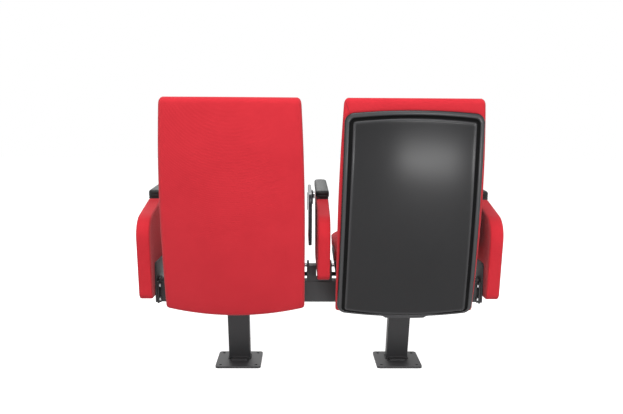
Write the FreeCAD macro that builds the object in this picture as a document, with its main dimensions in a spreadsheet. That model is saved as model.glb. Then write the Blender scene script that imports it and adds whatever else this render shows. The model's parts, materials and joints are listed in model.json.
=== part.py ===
import FreeCAD, Part
import math
import os
import re

import Sketcher
from FreeCAD import Placement, Rotation, Vector

# Two-place beam-mounted auditorium seat with tip-up seats and stowing writing tablets.
# Millimetres. +Z up, sitters face -Y, the floor is z = 0 and x = 0 is midway between the seats.
# "Behind" values are measured towards +Y and "ahead" values towards -Y from the beam's rear face.

SIZES = {
    # Overall layout: room between the seats and beyond them, up to the beam's ends
    "beam_rear": 111.1,
    "middle_room": 96,
    "side_room": 32,
    # Beam, a rectangular steel tube
    "beam_depth": 50,
    "beam_height": 80,
    "beam_wall": 3,
    "beam_radius": 5,
    "beam_bottom": 247,
    # Legs and foot plates
    "leg_width": 80,
    "leg_depth": 45,
    "leg_wall": 3,
    "leg_lean": 14.5,
    "foot_width": 168,
    "foot_depth": 165,
    "foot_thickness": 8,
    "foot_radius": 12,
    "foot_rear": 20,
    "foot_hole_radius": 5.5,
    "foot_hole_edge": 18,
    "heel_width": 60,
    "heel_depth": 22,
    "heel_height": 6,
    # Saddles that hold the beam on the legs
    "saddle_thickness": 5,
    "saddle_length": 110,
    "saddle_cheek": 45,
    "saddle_bolt_gap": 60,
    "bolt_radius": 4,
    "bolt_clearance": 0.3,
    "head_width": 13,
    "head_height": 5.5,
    # End flanges of the beam and the plates that carry the outer arms
    "flange_thickness": 6,
    "flange_margin": 18,
    "flange_bolt_drop": 15,
    "arm_plate_thickness": 6,
    "arm_plate_lift": 2,
    "arm_plate_height": 150,
    "arm_plate_ahead": 120,
    "arm_plate_margin": 6,
    # Arms
    "arm_thickness": 52,
    "middle_arm_thickness": 50,
    "middle_arm_shift": -13,
    "arm_bottom": 272,
    "middle_arm_lift": 10,
    "arm_rear_low": 66,
    "arm_rear_high": 101,
    "arm_shoulder": 562,
    "arm_top": 613,
    "arm_front_high": 425,
    "arm_front_low": 330,
    "arm_shoulder_radius": 45,
    "arm_corner_radius": 25,
    "arm_front_radius": 60,
    "arm_edge_radius": 7,
    "arm_board": 18,
    "arm_foam": 14,
    # Armrests
    "armrest_start": 128,
    "armrest_length": 340,
    "armrest_rise": 2.4,
    "armrest_width": 50,
    "armrest_height": 24,
    "armrest_base": 8,
    "armrest_base_inset": 3,
    "armrest_base_start": 4,
    "armrest_base_end": 45,
    "armrest_radius": 9,
    "armrest_end_radius": 17,
    # Seat hinge and its brackets
    "pivot_ahead": 60,
    "pivot_rise": 47,
    "pivot_boss": 18,
    "pivot_boss_radius": 16.2,
    "pin_radius": 7,
    "pin_play": 0.05,
    "bracket_thickness": 8,
    "bracket_gap": 2,
    "bracket_flange": 26,
    "bracket_rear_height": 16,
    "spacer_height": 50,
    "spacer_wall": 4,
    "spacer_setback": 8,
    "middle_bolt_gap": 28,
    "bolt_end": 3,
    "nut_end": 2,
    "stop_ahead": 108,
    "stop_radius": 8,
    "stop_length": 20,
    "stop_gap": 0.3,
    "lug_margin": 4,
    # Seats
    "seat_half_width": 252,
    "seat_rear_reach": 40,
    "seat_front": 462,
    "seat_rise": 73,
    "seat_front_corner": 48,
    "seat_rear_corner": 24,
    "seat_crown": 20,
    "seat_side_taper": 12,
    "seat_crown_inset": 64,
    "seat_swing_radius": 42,
    "seat_front_thickness": 74,
    "pan_thickness": 6,
    "pan_inset": 14,
    "pin_clearance": 4,
    "ear_inset": 12,
    "ear_thickness": 5,
    "ear_boss": 24,
    "ear_end": 338,
    "ear_end_half": 14,
    "ear_radius": 16.8,
    "ear_end_radius": 12.6,
    "cross_tube_radius": 11,
    "cross_tube_wall": 2,
    "cross_tube_rear": 120,
    "cross_tube_front": 320,
    "cross_tube_rise": 14,
    "bush_wall": 3,
    "bush_flange": 2,
    "damper_radius": 17,
    "damper_length": 20,
    # Backs
    "back_inset": 7,
    "back_top_narrowing": 15,
    "back_top": 986,
    "back_edge_radius": 20,
    "back_side_draw": 12,
    "back_bottom": 256,
    "back_bottom_drop": 31,
    "back_bottom_margin": 20,
    "back_reach": 105,
    "back_reach_height": 284,
    "back_lean": 16.2,
    "back_bow_radius": 3180,
    "back_crown": 16,
    "back_rear_foam": 30,
    "back_front_bottom": 336,
    "back_lumbar_height": 500,
    "back_lumbar": 114,
    "back_bottom_thickness": 86,
    "back_top_thickness": 72,
    "back_front_crown": 10,
    "board_thickness": 12,
    "board_inset": 22,
    "board_low_margin": 6,
    "board_top_margin": 30,
    "support_width": 40,
    "support_thickness": 6,
    "support_offset": 130,
    "support_top": 620,
    "support_stub_height": 50,
    "support_foot_height": 70,
    "support_foot_width": 92,
    # Moulded back shell
    "shell_depth": 14,
    "shell_inset": 10,
    "shell_top_border": 50,
    "shell_top_rise": 12,
    "shell_overhang": 8,
    "shell_bottom_drop": 24,
    "shell_corner_radius": 28,
    "shell_least_radius": 4,
    "shell_rim": 17,
    "shell_groove": 10,
    "shell_groove_depth": 4,
    "shell_wall": 4,
    "shell_tab_width": 157,
    "shell_tab_height": 60,
    "shell_tab_drop": 7,
    # Writing tablets
    "tablet_gap": 17,
    "tablet_thickness": 12,
    "tablet_width": 193,
    "tablet_length": 380,
    "tablet_rise": 48,
    "tablet_corner": 42,
    "tablet_hinge_corner": 21,
    "tablet_edge": 3,
    "tablet_pivot_ahead": 392,
    "tablet_pivot_drop": 13,
    "tablet_boss_radius": 16,
    "tablet_boss_height": 7,
    "tablet_shaft_radius": 8,
    "tablet_cap_radius": 11,
    "tablet_cap_gap": 1,
    "tablet_plate": 6,
    "tablet_plate_margin": 20,
    "running_gap": 0.3,
    "knuckle_behind": 20,
    "knuckle_radius": 8,
    "knuckle_pin_radius": 4,
    "knuckle_length": 24,
    "leaf_setback": 10,
    "strap_thickness": 8,
    "strap_setback": 2,
    # How far the tools that cut a shape reach past it
    "tool_margin": 10,
    "tool_reach": 1000,
}

# Places that follow from the sizes
PLACES = {
    "seat_pitch": "2 * seat_half_width + middle_room",
    "seat_centre": "seat_pitch / 2",
    "beam_end": "seat_centre + seat_half_width + side_room",
    "beam_top": "beam_bottom + beam_height",
    "arm_inner": "beam_end + flange_thickness + arm_plate_thickness",
    "middle_arm_bottom": "beam_top + bracket_thickness + middle_arm_lift",
    "middle_arm_face": "middle_arm_shift + middle_arm_thickness / 2",
    "pivot_height": "beam_top + pivot_rise",
    "seat_top": "pivot_height + seat_rise",
    "seat_edge_height": "seat_top - seat_crown",
    "seat_rear": "pivot_ahead - seat_rear_reach",
    "seat_low": "pivot_height - seat_swing_radius",
    "ear_inner": "seat_half_width - ear_inset - ear_thickness",
    "cross_tube_height": "pivot_height + cross_tube_rise",
    "back_half_width": "seat_half_width - back_inset",
    "shell_half_bottom": "back_half_width - shell_inset",
    "shell_half_top": "shell_half_bottom - back_top_narrowing",
    "shell_top": "back_top - shell_top_border",
    "shell_bottom": "back_bottom - shell_overhang",
    "tablet_pivot_height": "arm_top - tablet_pivot_drop",
    "tablet_high": "tablet_pivot_height + tablet_rise",
    "tablet_low": "tablet_high - tablet_width",
    "knuckle_ahead": "tablet_pivot_ahead - knuckle_behind",
    "tablet_front": "knuckle_ahead - leaf_setback",
    "tablet_rear": "tablet_front - tablet_length",
    "knuckle_low": "tablet_pivot_height - 3 * knuckle_length / 2",
}

doc = FreeCAD.newDocument("AuditoriumSeat")
sheet = doc.addObject("Spreadsheet::Sheet", "Sizes")
values = [(alias, str(value)) for alias, value in SIZES.items()]
values += [(alias, "=" + formula) for alias, formula in PLACES.items()]
for row, (alias, value) in enumerate(values, start=1):
    sheet.set("A%d" % row, alias)
    sheet.set("B%d" % row, value)
    sheet.setAlias("B%d" % row, alias)
doc.recompute()

ALONG_X = Rotation(Vector(0, 1, 0), 90)
PIECES = []


def expression(text):
    """Write the sheet's name before each of its aliases in a formula."""
    words = re.compile(r"[a-z]\w*")

    def with_sheet(word):
        alias = word.group()
        return "Sizes." + alias if alias in SIZES or alias in PLACES else alias

    return words.sub(with_sheet, text)


def size(text):
    """Work out a formula of sheet values as a number."""
    return float(sheet.evalExpression(expression(text)))


def ahead(distance):
    """Formula of the y coordinate that lies so far ahead of the beam's rear face."""
    return "beam_rear - (%s)" % distance


def y_ahead(distance):
    """The same as a number."""
    return size("beam_rear") - distance


def keep(piece):
    """Note a finished sub-part."""
    PIECES.append(piece)
    return piece


def new_body(label):
    body = doc.addObject("PartDesign::Body", label)
    body.Label = label
    return body


def add_sketch(body, plane, offset="0"):
    """Sketch on one of the body's own origin planes, moved along the plane's normal."""
    sketch = body.newObject("Sketcher::SketchObject", body.Name + "_sketch")
    support = next(item for item in body.Origin.OriginFeatures if item.Role == plane)
    sketch.AttachmentSupport = [(support, "")]
    sketch.MapMode = "FlatFace"
    sketch.setExpression("AttachmentOffset.Base.z", expression(offset))
    return sketch


def hold(sketch, kind, first, second, text):
    """Add a distance or radius that follows a formula of sheet values."""
    value = size(text)
    if second is None:
        number = sketch.addConstraint(Sketcher.Constraint(kind, first, value))
    else:
        number = sketch.addConstraint(Sketcher.Constraint(kind, *first, *second, value))
    sketch.setExpression("Constraints[%d]" % number, expression(text))


def draw_outline(sketch, points):
    """Closed outline of straight sides whose corners follow pairs of formulas."""
    start = sketch.GeometryCount
    corners = [Vector(size(across), size(up), 0) for across, up in points]
    for corner, following in zip(corners, corners[1:] + corners[:1]):
        sketch.addGeometry(Part.LineSegment(corner, following))
    for number, (across, up) in enumerate(points):
        side = start + number
        before = start + (number - 1) % len(points)
        sketch.addConstraint(Sketcher.Constraint("Coincident", before, 2, side, 1))
        hold(sketch, "DistanceX", (-1, 1), (side, 1), across)
        hold(sketch, "DistanceY", (-1, 1), (side, 1), up)


def draw_circle(sketch, across, up, radius):
    """Circle whose centre and radius follow formulas."""
    centre = Vector(size(across), size(up), 0)
    side = sketch.addGeometry(Part.Circle(centre, Vector(0, 0, 1), size(radius)))
    hold(sketch, "DistanceX", (-1, 1), (side, 3), across)
    hold(sketch, "DistanceY", (-1, 1), (side, 3), up)
    hold(sketch, "Radius", side, None, radius)


def rectangle(left, right, low, high):
    """Corners of an upright rectangle, as formulas."""
    return [(left, low), (right, low), (right, high), (left, high)]


def pad(body, sketch, length):
    feature = body.newObject("PartDesign::Pad", body.Name + "_pad")
    feature.Profile = sketch
    feature.setExpression("Length", expression(length))
    doc.recompute()
    return feature


def pocket(body, plane, offset, length, draw):
    """Cut against the plane's normal, from the plane moved by offset, as deep as length."""
    before = body.Shape.Volume
    sketch = add_sketch(body, plane, offset)
    draw(sketch)
    feature = body.newObject("PartDesign::Pocket", body.Name + "_pocket")
    feature.Profile = sketch
    feature.setExpression("Length", expression(length))
    doc.recompute()
    if body.Shape.Volume > before - 1e-3:
        raise ValueError("%s: the cut removes nothing" % body.Label)
    return feature


def prism(label, plane, offset, length, points, circles=(), inner=()):
    """Body padded from one sketch: an outline, round holes and inner outlines."""
    body = new_body(label)
    sketch = add_sketch(body, plane, offset)
    draw_outline(sketch, points)
    for outline in inner:
        draw_outline(sketch, outline)
    for circle in circles:
        draw_circle(sketch, *circle)
    pad(body, sketch, length)
    return body


def add_pad(body, plane, offset, length, points, circles=()):
    """Weld a further padded outline to the body."""
    sketch = add_sketch(body, plane, offset)
    draw_outline(sketch, points)
    for circle in circles:
        draw_circle(sketch, *circle)
    return pad(body, sketch, length)


def tube_body(label, offset, length, across, up, outer, inner):
    """Round tube along X."""
    body = new_body(label)
    sketch = add_sketch(body, "YZ_Plane", offset)
    draw_circle(sketch, across, up, outer)
    draw_circle(sketch, across, up, inner)
    pad(body, sketch, length)
    return body


def round_edges(body, radius, wanted):
    """Round the edges of the body's newest feature that the test picks out."""
    base = body.Tip
    names = ["Edge%d" % number for number, edge in enumerate(base.Shape.Edges, start=1) if wanted(edge)]
    feature = body.newObject("PartDesign::Fillet", body.Name + "_round")
    feature.Base = (base, names)
    feature.setExpression("Radius", expression(radius))
    doc.recompute()
    return feature


def runs_along(axis, *places):
    """Test for straight edges along an axis, near any of the given places across it."""
    def wanted(edge):
        if not isinstance(edge.Curve, Part.Line):
            return False
        direction = edge.Vertexes[-1].Point.sub(edge.Vertexes[0].Point).normalize()
        if abs(abs(direction.dot(axis)) - 1) > 1e-6:
            return False
        middle = edge.CenterOfMass
        return not places or any(middle.sub(place).cross(axis).Length < 1 for place in places)
    return wanted


def lies_at(axis, *levels):
    """Test for edges that lie wholly at one of the levels along an axis."""
    def wanted(edge):
        box = edge.BoundBox
        low = Vector(box.XMin, box.YMin, box.ZMin).dot(axis)
        high = Vector(box.XMax, box.YMax, box.ZMax).dot(axis)
        return any(abs(low - level) < 0.01 and abs(high - level) < 0.01 for level in levels)
    return wanted


def span(side, near, depth):
    """Offset formula for a piece that runs outward from near on the side's own side of x = 0."""
    return near if side > 0 else "-(%s) - (%s)" % (near, depth)


def cylinder(label, radius, length, place, rotation=Rotation()):
    """Part cylinder whose sizes and place follow formulas."""
    item = doc.addObject("Part::Cylinder", label)
    item.Label = label
    item.setExpression("Radius", expression(radius))
    item.setExpression("Height", expression(length))
    item.Placement = Placement(Vector(), rotation)
    for axis, text in zip("xyz", place):
        item.setExpression("Placement.Base." + axis, expression(text))
    return item


def fuse(label, items):
    item = doc.addObject("Part::MultiFuse", label)
    item.Label = label
    item.Shapes = items
    return item


def cut(label, base, tool):
    item = doc.addObject("Part::Cut", label)
    item.Label = label
    item.Base = base
    item.Tool = tool
    return item


def solid(label, shape):
    """Sub-part whose shape is worked out from the sheet's values."""
    item = doc.addObject("Part::Feature", label)
    item.Label = label
    item.Shape = shape
    item.Placement = Placement()
    return item


X = Vector(1, 0, 0)
Y = Vector(0, 1, 0)
Z = Vector(0, 0, 1)
SIDES = (("left", 1), ("right", -1))


# Fasteners


def hexagon():
    """Flat hexagon of a bolt's head, round the origin."""
    corner = Vector(size("head_width") / math.sqrt(3), 0, 0)
    corners = [Rotation(Z, turn).multVec(corner) for turn in range(0, 420, 60)]
    return Part.Face(Part.makePolygon(corners))


def hex_bolt(head_point, direction, length):
    """Hexagon-head bolt whose head sits on head_point and whose shank runs along direction."""
    head = hexagon().extrude(Vector(0, 0, -size("head_height")))
    bolt = head.fuse(Part.makeCylinder(size("bolt_radius"), length)).removeSplitter()
    bolt.Placement = Placement(head_point, Rotation(Z, direction))
    return bolt


def hex_nut(face_point, direction):
    """Nut that lies on face_point with the bolt running on along direction."""
    nut = hexagon().extrude(Vector(0, 0, size("head_height")))
    nut = nut.cut(Part.makeCylinder(size("bolt_radius"), size("head_height")))
    nut.Placement = Placement(face_point, Rotation(Z, direction))
    return nut


# Beam


def flange_bolt_places():
    """Places across the beam's end of the four bolts of each flange, ahead and up."""
    inset = "flange_margin / 2"
    lows = "beam_bottom + flange_bolt_drop"
    highs = "beam_top - flange_bolt_drop"
    return [("-(%s)" % inset, lows), ("-(%s)" % inset, highs),
            ("beam_depth + " + inset, lows), ("beam_depth + " + inset, highs)]


def saddle_bolt_places():
    """x formulas and the height formula of the bolts that cross the beam in each saddle."""
    height = "beam_bottom + saddle_cheek / 2"
    return [("%d * seat_centre + %d * saddle_bolt_gap / 2" % (side, end), height)
            for name, side in SIDES for end in (-1, 1)]


support_bolt_height = "beam_bottom + beam_height / 2"


def support_bolt_places():
    """x formulas of the bolts that hold the back supports on the beam's rear face."""
    reach = "(support_foot_width + support_width) / 4"
    return ["%d * seat_centre + %d * support_offset + %d * %s" % (side, post, end, reach)
            for name, side in SIDES for post in (-1, 1) for end in (-1, 1)]


def bracket_bolt_places():
    """x formulas of the bolts that hold the seat brackets on the beam's top, at mid depth."""
    flange_middle = "seat_centre + seat_half_width + bracket_gap + bracket_thickness + bracket_flange / 2"
    outer = ["%d * (%s)" % (side, flange_middle) for name, side in SIDES]
    inner = ["middle_arm_shift + %d * middle_bolt_gap / 2" % end for end in (-1, 1)]
    return outer + inner


def make_beam():
    body = new_body("beam")
    sketch = add_sketch(body, "YZ_Plane", "-beam_end")
    rear, front = ahead("0"), ahead("beam_depth")
    draw_outline(sketch, rectangle(front, rear, "beam_bottom", "beam_top"))
    draw_outline(sketch, rectangle(ahead("beam_depth - beam_wall"), ahead("beam_wall"),
                                   "beam_bottom + beam_wall", "beam_top - beam_wall"))
    pad(body, sketch, "2 * beam_end")
    corners = [Vector(0, size(y), size(z)) for y in (rear, front) for z in ("beam_bottom", "beam_top")]
    round_edges(body, "beam_radius", runs_along(X, *corners))
    hole = "bolt_radius + bolt_clearance"

    def cross_holes(drawn):
        for x, height in saddle_bolt_places():
            draw_circle(drawn, x, height, hole)

    def top_holes(drawn):
        for x in bracket_bolt_places():
            draw_circle(drawn, x, ahead("beam_depth / 2"), hole)

    def rear_holes(drawn):
        for x in support_bolt_places():
            draw_circle(drawn, x, support_bolt_height, hole)

    pocket(body, "XZ_Plane", "-(%s)" % front, "beam_depth", cross_holes)
    pocket(body, "XY_Plane", "beam_top", "2 * beam_wall", top_holes)
    pocket(body, "XZ_Plane", "-(%s)" % ahead("2 * beam_wall"), "2 * beam_wall", rear_holes)
    flange = rectangle(ahead("beam_depth + flange_margin"), ahead("-flange_margin"),
                       "beam_bottom", "beam_top")
    bolt_holes = [(ahead(w), z, hole) for w, z in flange_bolt_places()]
    for name, side in SIDES:
        add_pad(body, "YZ_Plane", span(side, "beam_end", "flange_thickness"), "flange_thickness",
                flange, bolt_holes)
    return keep(body)


# Legs


leg_height = "(beam_bottom - saddle_thickness - foot_thickness)"
leg_foot = "beam_depth / 2 + %s * tan(leg_lean)" % leg_height


def make_leg(name, side):
    """Leaning tube, cut level at both ends: a level section swept along the lean."""
    body = new_body("leg_" + name)
    sketch = add_sketch(body, "XY_Plane", "foot_thickness")
    x, y = "%d * seat_centre" % side, ahead(leg_foot)
    for inset in ("0", "leg_wall"):
        half_x, half_y = "(leg_width / 2 - %s)" % inset, "(leg_depth / 2 - %s)" % inset
        draw_outline(sketch, rectangle("%s - %s" % (x, half_x), "%s + %s" % (x, half_x),
                                       "%s - %s" % (y, half_y), "%s + %s" % (y, half_y)))
    feature = body.newObject("PartDesign::Pad", body.Name + "_pad")
    feature.Profile = sketch
    feature.UseCustomVector = True
    lean = Vector(0, math.tan(math.radians(size("leg_lean"))), 1)
    feature.Direction = lean
    feature.AlongSketchNormal = True
    feature.setExpression("Length", expression(leg_height))
    doc.recompute()
    half_x, half_y = size("leg_width / 2"), size("leg_depth / 2")
    outer = [Vector(size(x) + a * half_x, size(y) + b * half_y, size("foot_thickness"))
             for a in (-1, 1) for b in (-1, 1)]
    round_edges(body, "leg_wall", runs_along(lean.normalize(), *outer))
    return keep(body)


def make_foot_plate(name, side):
    """Floor plate with its welded heel block behind the leg."""
    x = "%d * seat_centre" % side
    left, right = x + " - foot_width / 2", x + " + foot_width / 2"
    rear, front = ahead("-foot_rear"), ahead("foot_depth - foot_rear")
    holes = [(across, along, "foot_hole_radius")
             for across in (left + " + foot_hole_edge", right + " - foot_hole_edge")
             for along in (rear + " - foot_hole_edge", front + " + foot_hole_edge")]
    body = prism("foot_plate_" + name, "XY_Plane", "0", "foot_thickness",
                 rectangle(left, right, front, rear), holes)
    corners = [Vector(size(a), size(b), 0) for a in (left, right) for b in (front, rear)]
    round_edges(body, "foot_radius", runs_along(Z, *corners))
    rear_of_leg = leg_foot + " - leg_depth / 2"
    heel = rectangle(x + " - heel_width / 2", x + " + heel_width / 2",
                     ahead(rear_of_leg + " - heel_height * tan(leg_lean)"),
                     ahead(rear_of_leg + " - heel_depth"))
    add_pad(body, "XY_Plane", "foot_thickness", "heel_height", heel)
    return keep(body)


def make_saddle(name, side):
    """Folded U that lies between the leg's head and the beam, with a cheek on each face of the beam."""
    low = "beam_bottom - saddle_thickness"
    high = "beam_bottom + saddle_cheek"
    rear, front = ahead("-saddle_thickness"), ahead("beam_depth + saddle_thickness")
    points = [(front, low), (rear, low), (rear, high), (ahead("0"), high), (ahead("0"), "beam_bottom"),
              (ahead("beam_depth"), "beam_bottom"), (ahead("beam_depth"), high), (front, high)]
    body = prism("leg_saddle_" + name, "YZ_Plane", "%d * seat_centre - saddle_length / 2" % side,
                 "saddle_length", points)
    round_edges(body, "saddle_thickness",
                runs_along(X, *[Vector(0, size(y), size(low)) for y in (rear, front)]))

    def cross_holes(drawn):
        for place, height in saddle_bolt_places():
            if size(place) * side > 0:
                draw_circle(drawn, place, height, "bolt_radius + bolt_clearance")

    pocket(body, "XZ_Plane", "-(%s)" % front, "beam_depth + 2 * saddle_thickness", cross_holes)
    return keep(body)


def make_saddle_bolts():
    """Bolts that cross the beam in the saddles, with their nuts."""
    parts = []
    rear = y_ahead(-size("saddle_thickness"))
    front = y_ahead(size("beam_depth + saddle_thickness"))
    length = rear - front + size("head_height + nut_end")
    for place, height in saddle_bolt_places():
        x, z = size(place), size(height)
        parts.append(hex_bolt(Vector(x, front, z), Y, length))
        parts.append(hex_nut(Vector(x, rear, z), Y))
    return keep(solid("saddle_bolts", Part.makeCompound(parts)))


# Ends of the beam


def make_arm_plate(name, side):
    """Plate bolted to the flange that the outer arm is screwed to."""
    near = "beam_end + flange_thickness"
    low = "beam_bottom + arm_plate_lift"
    points = rectangle(ahead("arm_plate_ahead"), ahead("-flange_margin - arm_plate_margin"),
                       low, low + " + arm_plate_height")
    holes = [(ahead(w), z, "bolt_radius + bolt_clearance") for w, z in flange_bolt_places()]
    body = prism("arm_plate_" + name, "YZ_Plane", span(side, near, "arm_plate_thickness"),
                 "arm_plate_thickness", points, holes)
    corners = [Vector(0, size(y), size(z)) for y, z in points]
    round_edges(body, "arm_corner_radius / 2", runs_along(X, *corners))
    return keep(body)


def make_flange_bolts():
    """Bolts that join each end flange to its arm plate."""
    parts = []
    length = size("flange_thickness + arm_plate_thickness")
    for name, side in SIDES:
        for w, z in flange_bolt_places():
            start = Vector(side * size("beam_end"), y_ahead(size(w)), size(z))
            parts.append(hex_bolt(start, Vector(side, 0, 0), length))
    return keep(solid("flange_bolts", Part.makeCompound(parts)))


# Arms


def arm_line(distance, level):
    """Height formula of a line at the armrest's slope, through level at the armrest's rear end."""
    return "%s + (%s - armrest_start) * tan(armrest_rise)" % (level, distance)


def arm_outline(bottom, inset="0"):
    """Side view of an arm panel, or of the board inside it."""
    rear_slope = "(arm_rear_high - arm_rear_low) / (arm_shoulder - arm_bottom)"
    rear_low = "arm_rear_low + (%s - arm_bottom) * %s" % (bottom, rear_slope)
    front_slope = "(arm_front_high - arm_front_low) / (arm_top - arm_bottom)"
    front_low = "arm_front_low + (%s - arm_bottom) * %s" % (bottom, front_slope)
    return [(ahead("-(%s) + %s" % (rear_low, inset)), "%s + %s" % (bottom, inset)),
            (ahead("-arm_rear_high + %s" % inset), "arm_shoulder - %s" % inset),
            (ahead("armrest_start"), "arm_top - %s" % inset),
            (ahead("arm_front_high - %s" % inset), arm_line("arm_front_high", "arm_top") + " - %s" % inset),
            (ahead("%s - %s" % (front_low, inset)), "%s + %s" % (bottom, inset))]


def make_arm(name, offset, thickness, bottom):
    """Upholstered panel round a plywood board."""
    board_points = arm_outline(bottom, "arm_foam")
    board = prism("arm_board_" + name, "YZ_Plane", "%s + (%s - arm_board) / 2" % (offset, thickness),
                  "arm_board", board_points)
    board_corners = [Vector(0, size(y), size(z)) for y, z in board_points]
    round_edges(board, "arm_shoulder_radius - arm_foam", runs_along(X, board_corners[1]))
    points = arm_outline(bottom)
    corners = [Vector(0, size(y), size(z)) for y, z in points]
    cover = prism("arm_cover_%s_whole" % name, "YZ_Plane", offset, thickness, points)
    round_edges(cover, "arm_shoulder_radius", runs_along(X, corners[1]))
    round_edges(cover, "arm_corner_radius", runs_along(X, corners[0]))
    round_edges(cover, "arm_front_radius", runs_along(X, corners[3], corners[4]))
    x_near = size(offset)
    round_edges(cover, "arm_edge_radius", lies_at(X, x_near, x_near + size(thickness)))
    keep(board)
    return keep(cut("arm_cover_" + name, cover, board))


def make_armrest(name, middle):
    """Base strip and moulded pad on top of an arm."""
    start, end = "armrest_start", "armrest_start + armrest_length"
    base_half = "(armrest_width / 2 - armrest_base_inset)"
    base_start, base_end = "%s + armrest_base_start" % start, "%s - armrest_base_end" % end
    base_points = [(ahead(base_start), arm_line(base_start, "arm_top")),
                   (ahead(base_end), arm_line(base_end, "arm_top")),
                   (ahead(base_end), arm_line(base_end, "arm_top + armrest_base")),
                   (ahead(base_start), arm_line(base_start, "arm_top + armrest_base"))]
    base = prism("armrest_base_" + name, "YZ_Plane", "%s - %s" % (middle, base_half), "2 * " + base_half,
                 base_points)
    keep(base)
    low, high = "arm_top + armrest_base", "arm_top + armrest_base + armrest_height"
    points = [(ahead(start), arm_line(start, low)), (ahead(end), arm_line(end, low)),
              (ahead(end), arm_line(end, high)), (ahead(start), arm_line(start, high))]
    body = prism("armrest_" + name, "YZ_Plane", "%s - armrest_width / 2" % middle, "armrest_width", points)
    round_edges(body, "armrest_end_radius", runs_along(Z))
    level_at_beam, slope = size(arm_line("0", high)), math.tan(math.radians(size("armrest_rise")))

    def on_top(edge):
        return all(abs(vertex.Z - level_at_beam - (size("beam_rear") - vertex.Y) * slope) < 0.01
                   for vertex in edge.Vertexes)

    round_edges(body, "armrest_radius", on_top)
    return keep(body)


# Seat brackets, hinge pins and stops


bracket_near = "seat_centre + seat_half_width + bracket_gap"
bracket_far_inner = "seat_centre - seat_half_width - bracket_gap"
underside_slope = "(seat_top - seat_front_thickness - seat_low) / (seat_front - pivot_ahead)"


def underside(distance):
    """Height formula of the seat's underside ahead of the pivot."""
    return "seat_low + (%s - pivot_ahead) * %s" % (distance, underside_slope)


stop_height = underside("stop_ahead") + " - stop_radius - stop_gap"


def upright_outline(foot):
    """Side view of a bracket upright, from the height formula of its foot."""
    lug = "(stop_radius + lug_margin)"
    return [(ahead("0"), foot), (ahead("beam_depth"), foot),
            (ahead("stop_ahead + " + lug), stop_height + " - " + lug),
            (ahead("stop_ahead + " + lug), stop_height + " + " + lug),
            (ahead("pivot_ahead + pivot_boss"), "pivot_height - pivot_boss / 2"),
            (ahead("pivot_ahead + pivot_boss"), "pivot_height + pivot_boss"),
            (ahead("pivot_ahead - pivot_boss"), "pivot_height + pivot_boss"),
            (ahead("0"), foot + " + bracket_rear_height")]


def upright_circles():
    return [(ahead("pivot_ahead"), "pivot_height", "pin_radius"),
            (ahead("stop_ahead"), stop_height, "bolt_radius")]


def round_upright(body, foot):
    """Round the boss and the lug of an upright."""
    points = [Vector(0, size(y), size(z)) for y, z in upright_outline(foot)]
    round_edges(body, "pivot_boss_radius", runs_along(X, points[5], points[6]))
    round_edges(body, "stop_radius", runs_along(X, points[2], points[3]))


def make_outer_bracket(name, side):
    """Upright beside a seat's outer edge, with a flange on the beam's top."""
    body = new_body("seat_bracket_" + name)
    sketch = add_sketch(body, "YZ_Plane", span(side, bracket_near, "bracket_thickness"))
    draw_outline(sketch, upright_outline("beam_top"))
    for circle in upright_circles():
        draw_circle(sketch, *circle)
    pad(body, sketch, "bracket_thickness")
    round_upright(body, "beam_top")
    near = bracket_near + " + bracket_thickness"
    ends = ["%d * (%s)" % (side, near), "%d * (%s + bracket_flange)" % (side, near)]
    left, right = ends if side > 0 else reversed(ends)
    holes = [(x, ahead("beam_depth / 2"), "bolt_radius + bolt_clearance")
             for x in bracket_bolt_places()[:2] if size(x) * side > 0]
    add_pad(body, "XY_Plane", "beam_top", "bracket_thickness",
            rectangle(left, right, ahead("beam_depth"), ahead("0")), holes)
    return keep(body)


def make_centre_bracket():
    """Base plate with two uprights, and the box that the middle arm is bolted against."""
    body = new_body("centre_bracket")
    far = bracket_far_inner
    sketch = add_sketch(body, "XY_Plane", "beam_top")
    draw_outline(sketch, rectangle("-(%s)" % far, far, ahead("beam_depth"), ahead("0")))
    for x in bracket_bolt_places()[2:]:
        draw_circle(sketch, x, ahead("beam_depth / 2"), "bolt_radius + bolt_clearance")
    pad(body, sketch, "bracket_thickness")
    foot = "beam_top + bracket_thickness"
    for name, side in SIDES:
        near = "%s - bracket_thickness" % far
        add_pad(body, "YZ_Plane", span(side, near, "bracket_thickness"), "bracket_thickness",
                upright_outline(foot), upright_circles())
    round_upright(body, foot)
    front = "beam_depth - spacer_setback"
    outer = rectangle(ahead(front), ahead("0"), foot, foot + " + spacer_height")
    inner = rectangle(ahead(front + " - spacer_wall"), ahead("spacer_wall"),
                      foot + " + spacer_wall", foot + " + spacer_height - spacer_wall")
    sketch = add_sketch(body, "YZ_Plane", "middle_arm_face")
    draw_outline(sketch, outer)
    draw_outline(sketch, inner)
    pad(body, sketch, "%s - bracket_thickness - middle_arm_face" % far)
    return keep(body)


def make_bracket_bolts():
    """Bolts that hold the seat brackets on the beam's top wall."""
    start = size("beam_top + bracket_thickness")
    length = size("bracket_thickness + beam_wall + bolt_end")
    parts = [hex_bolt(Vector(size(x), y_ahead(size("beam_depth / 2")), start), -Z, length)
             for x in bracket_bolt_places()]
    return keep(solid("bracket_bolts", Part.makeCompound(parts)))


EDGES = (("outer", 1), ("inner", -1))


def seat_edges():
    """A label, the seat's sign and the direction away from its middle, for each edge of each seat."""
    return [("%s_%s" % (name, edge), side, outward) for name, side in SIDES for edge, outward in EDGES]


def lower_end(side, outward, near, length):
    """x formula of the lower end of a piece that runs outward from near, measured from a seat's middle."""
    reach = near if side * outward > 0 else "%s + %s" % (near, length)
    return "%d * (seat_centre + %d * (%s))" % (side, outward, reach)


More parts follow.
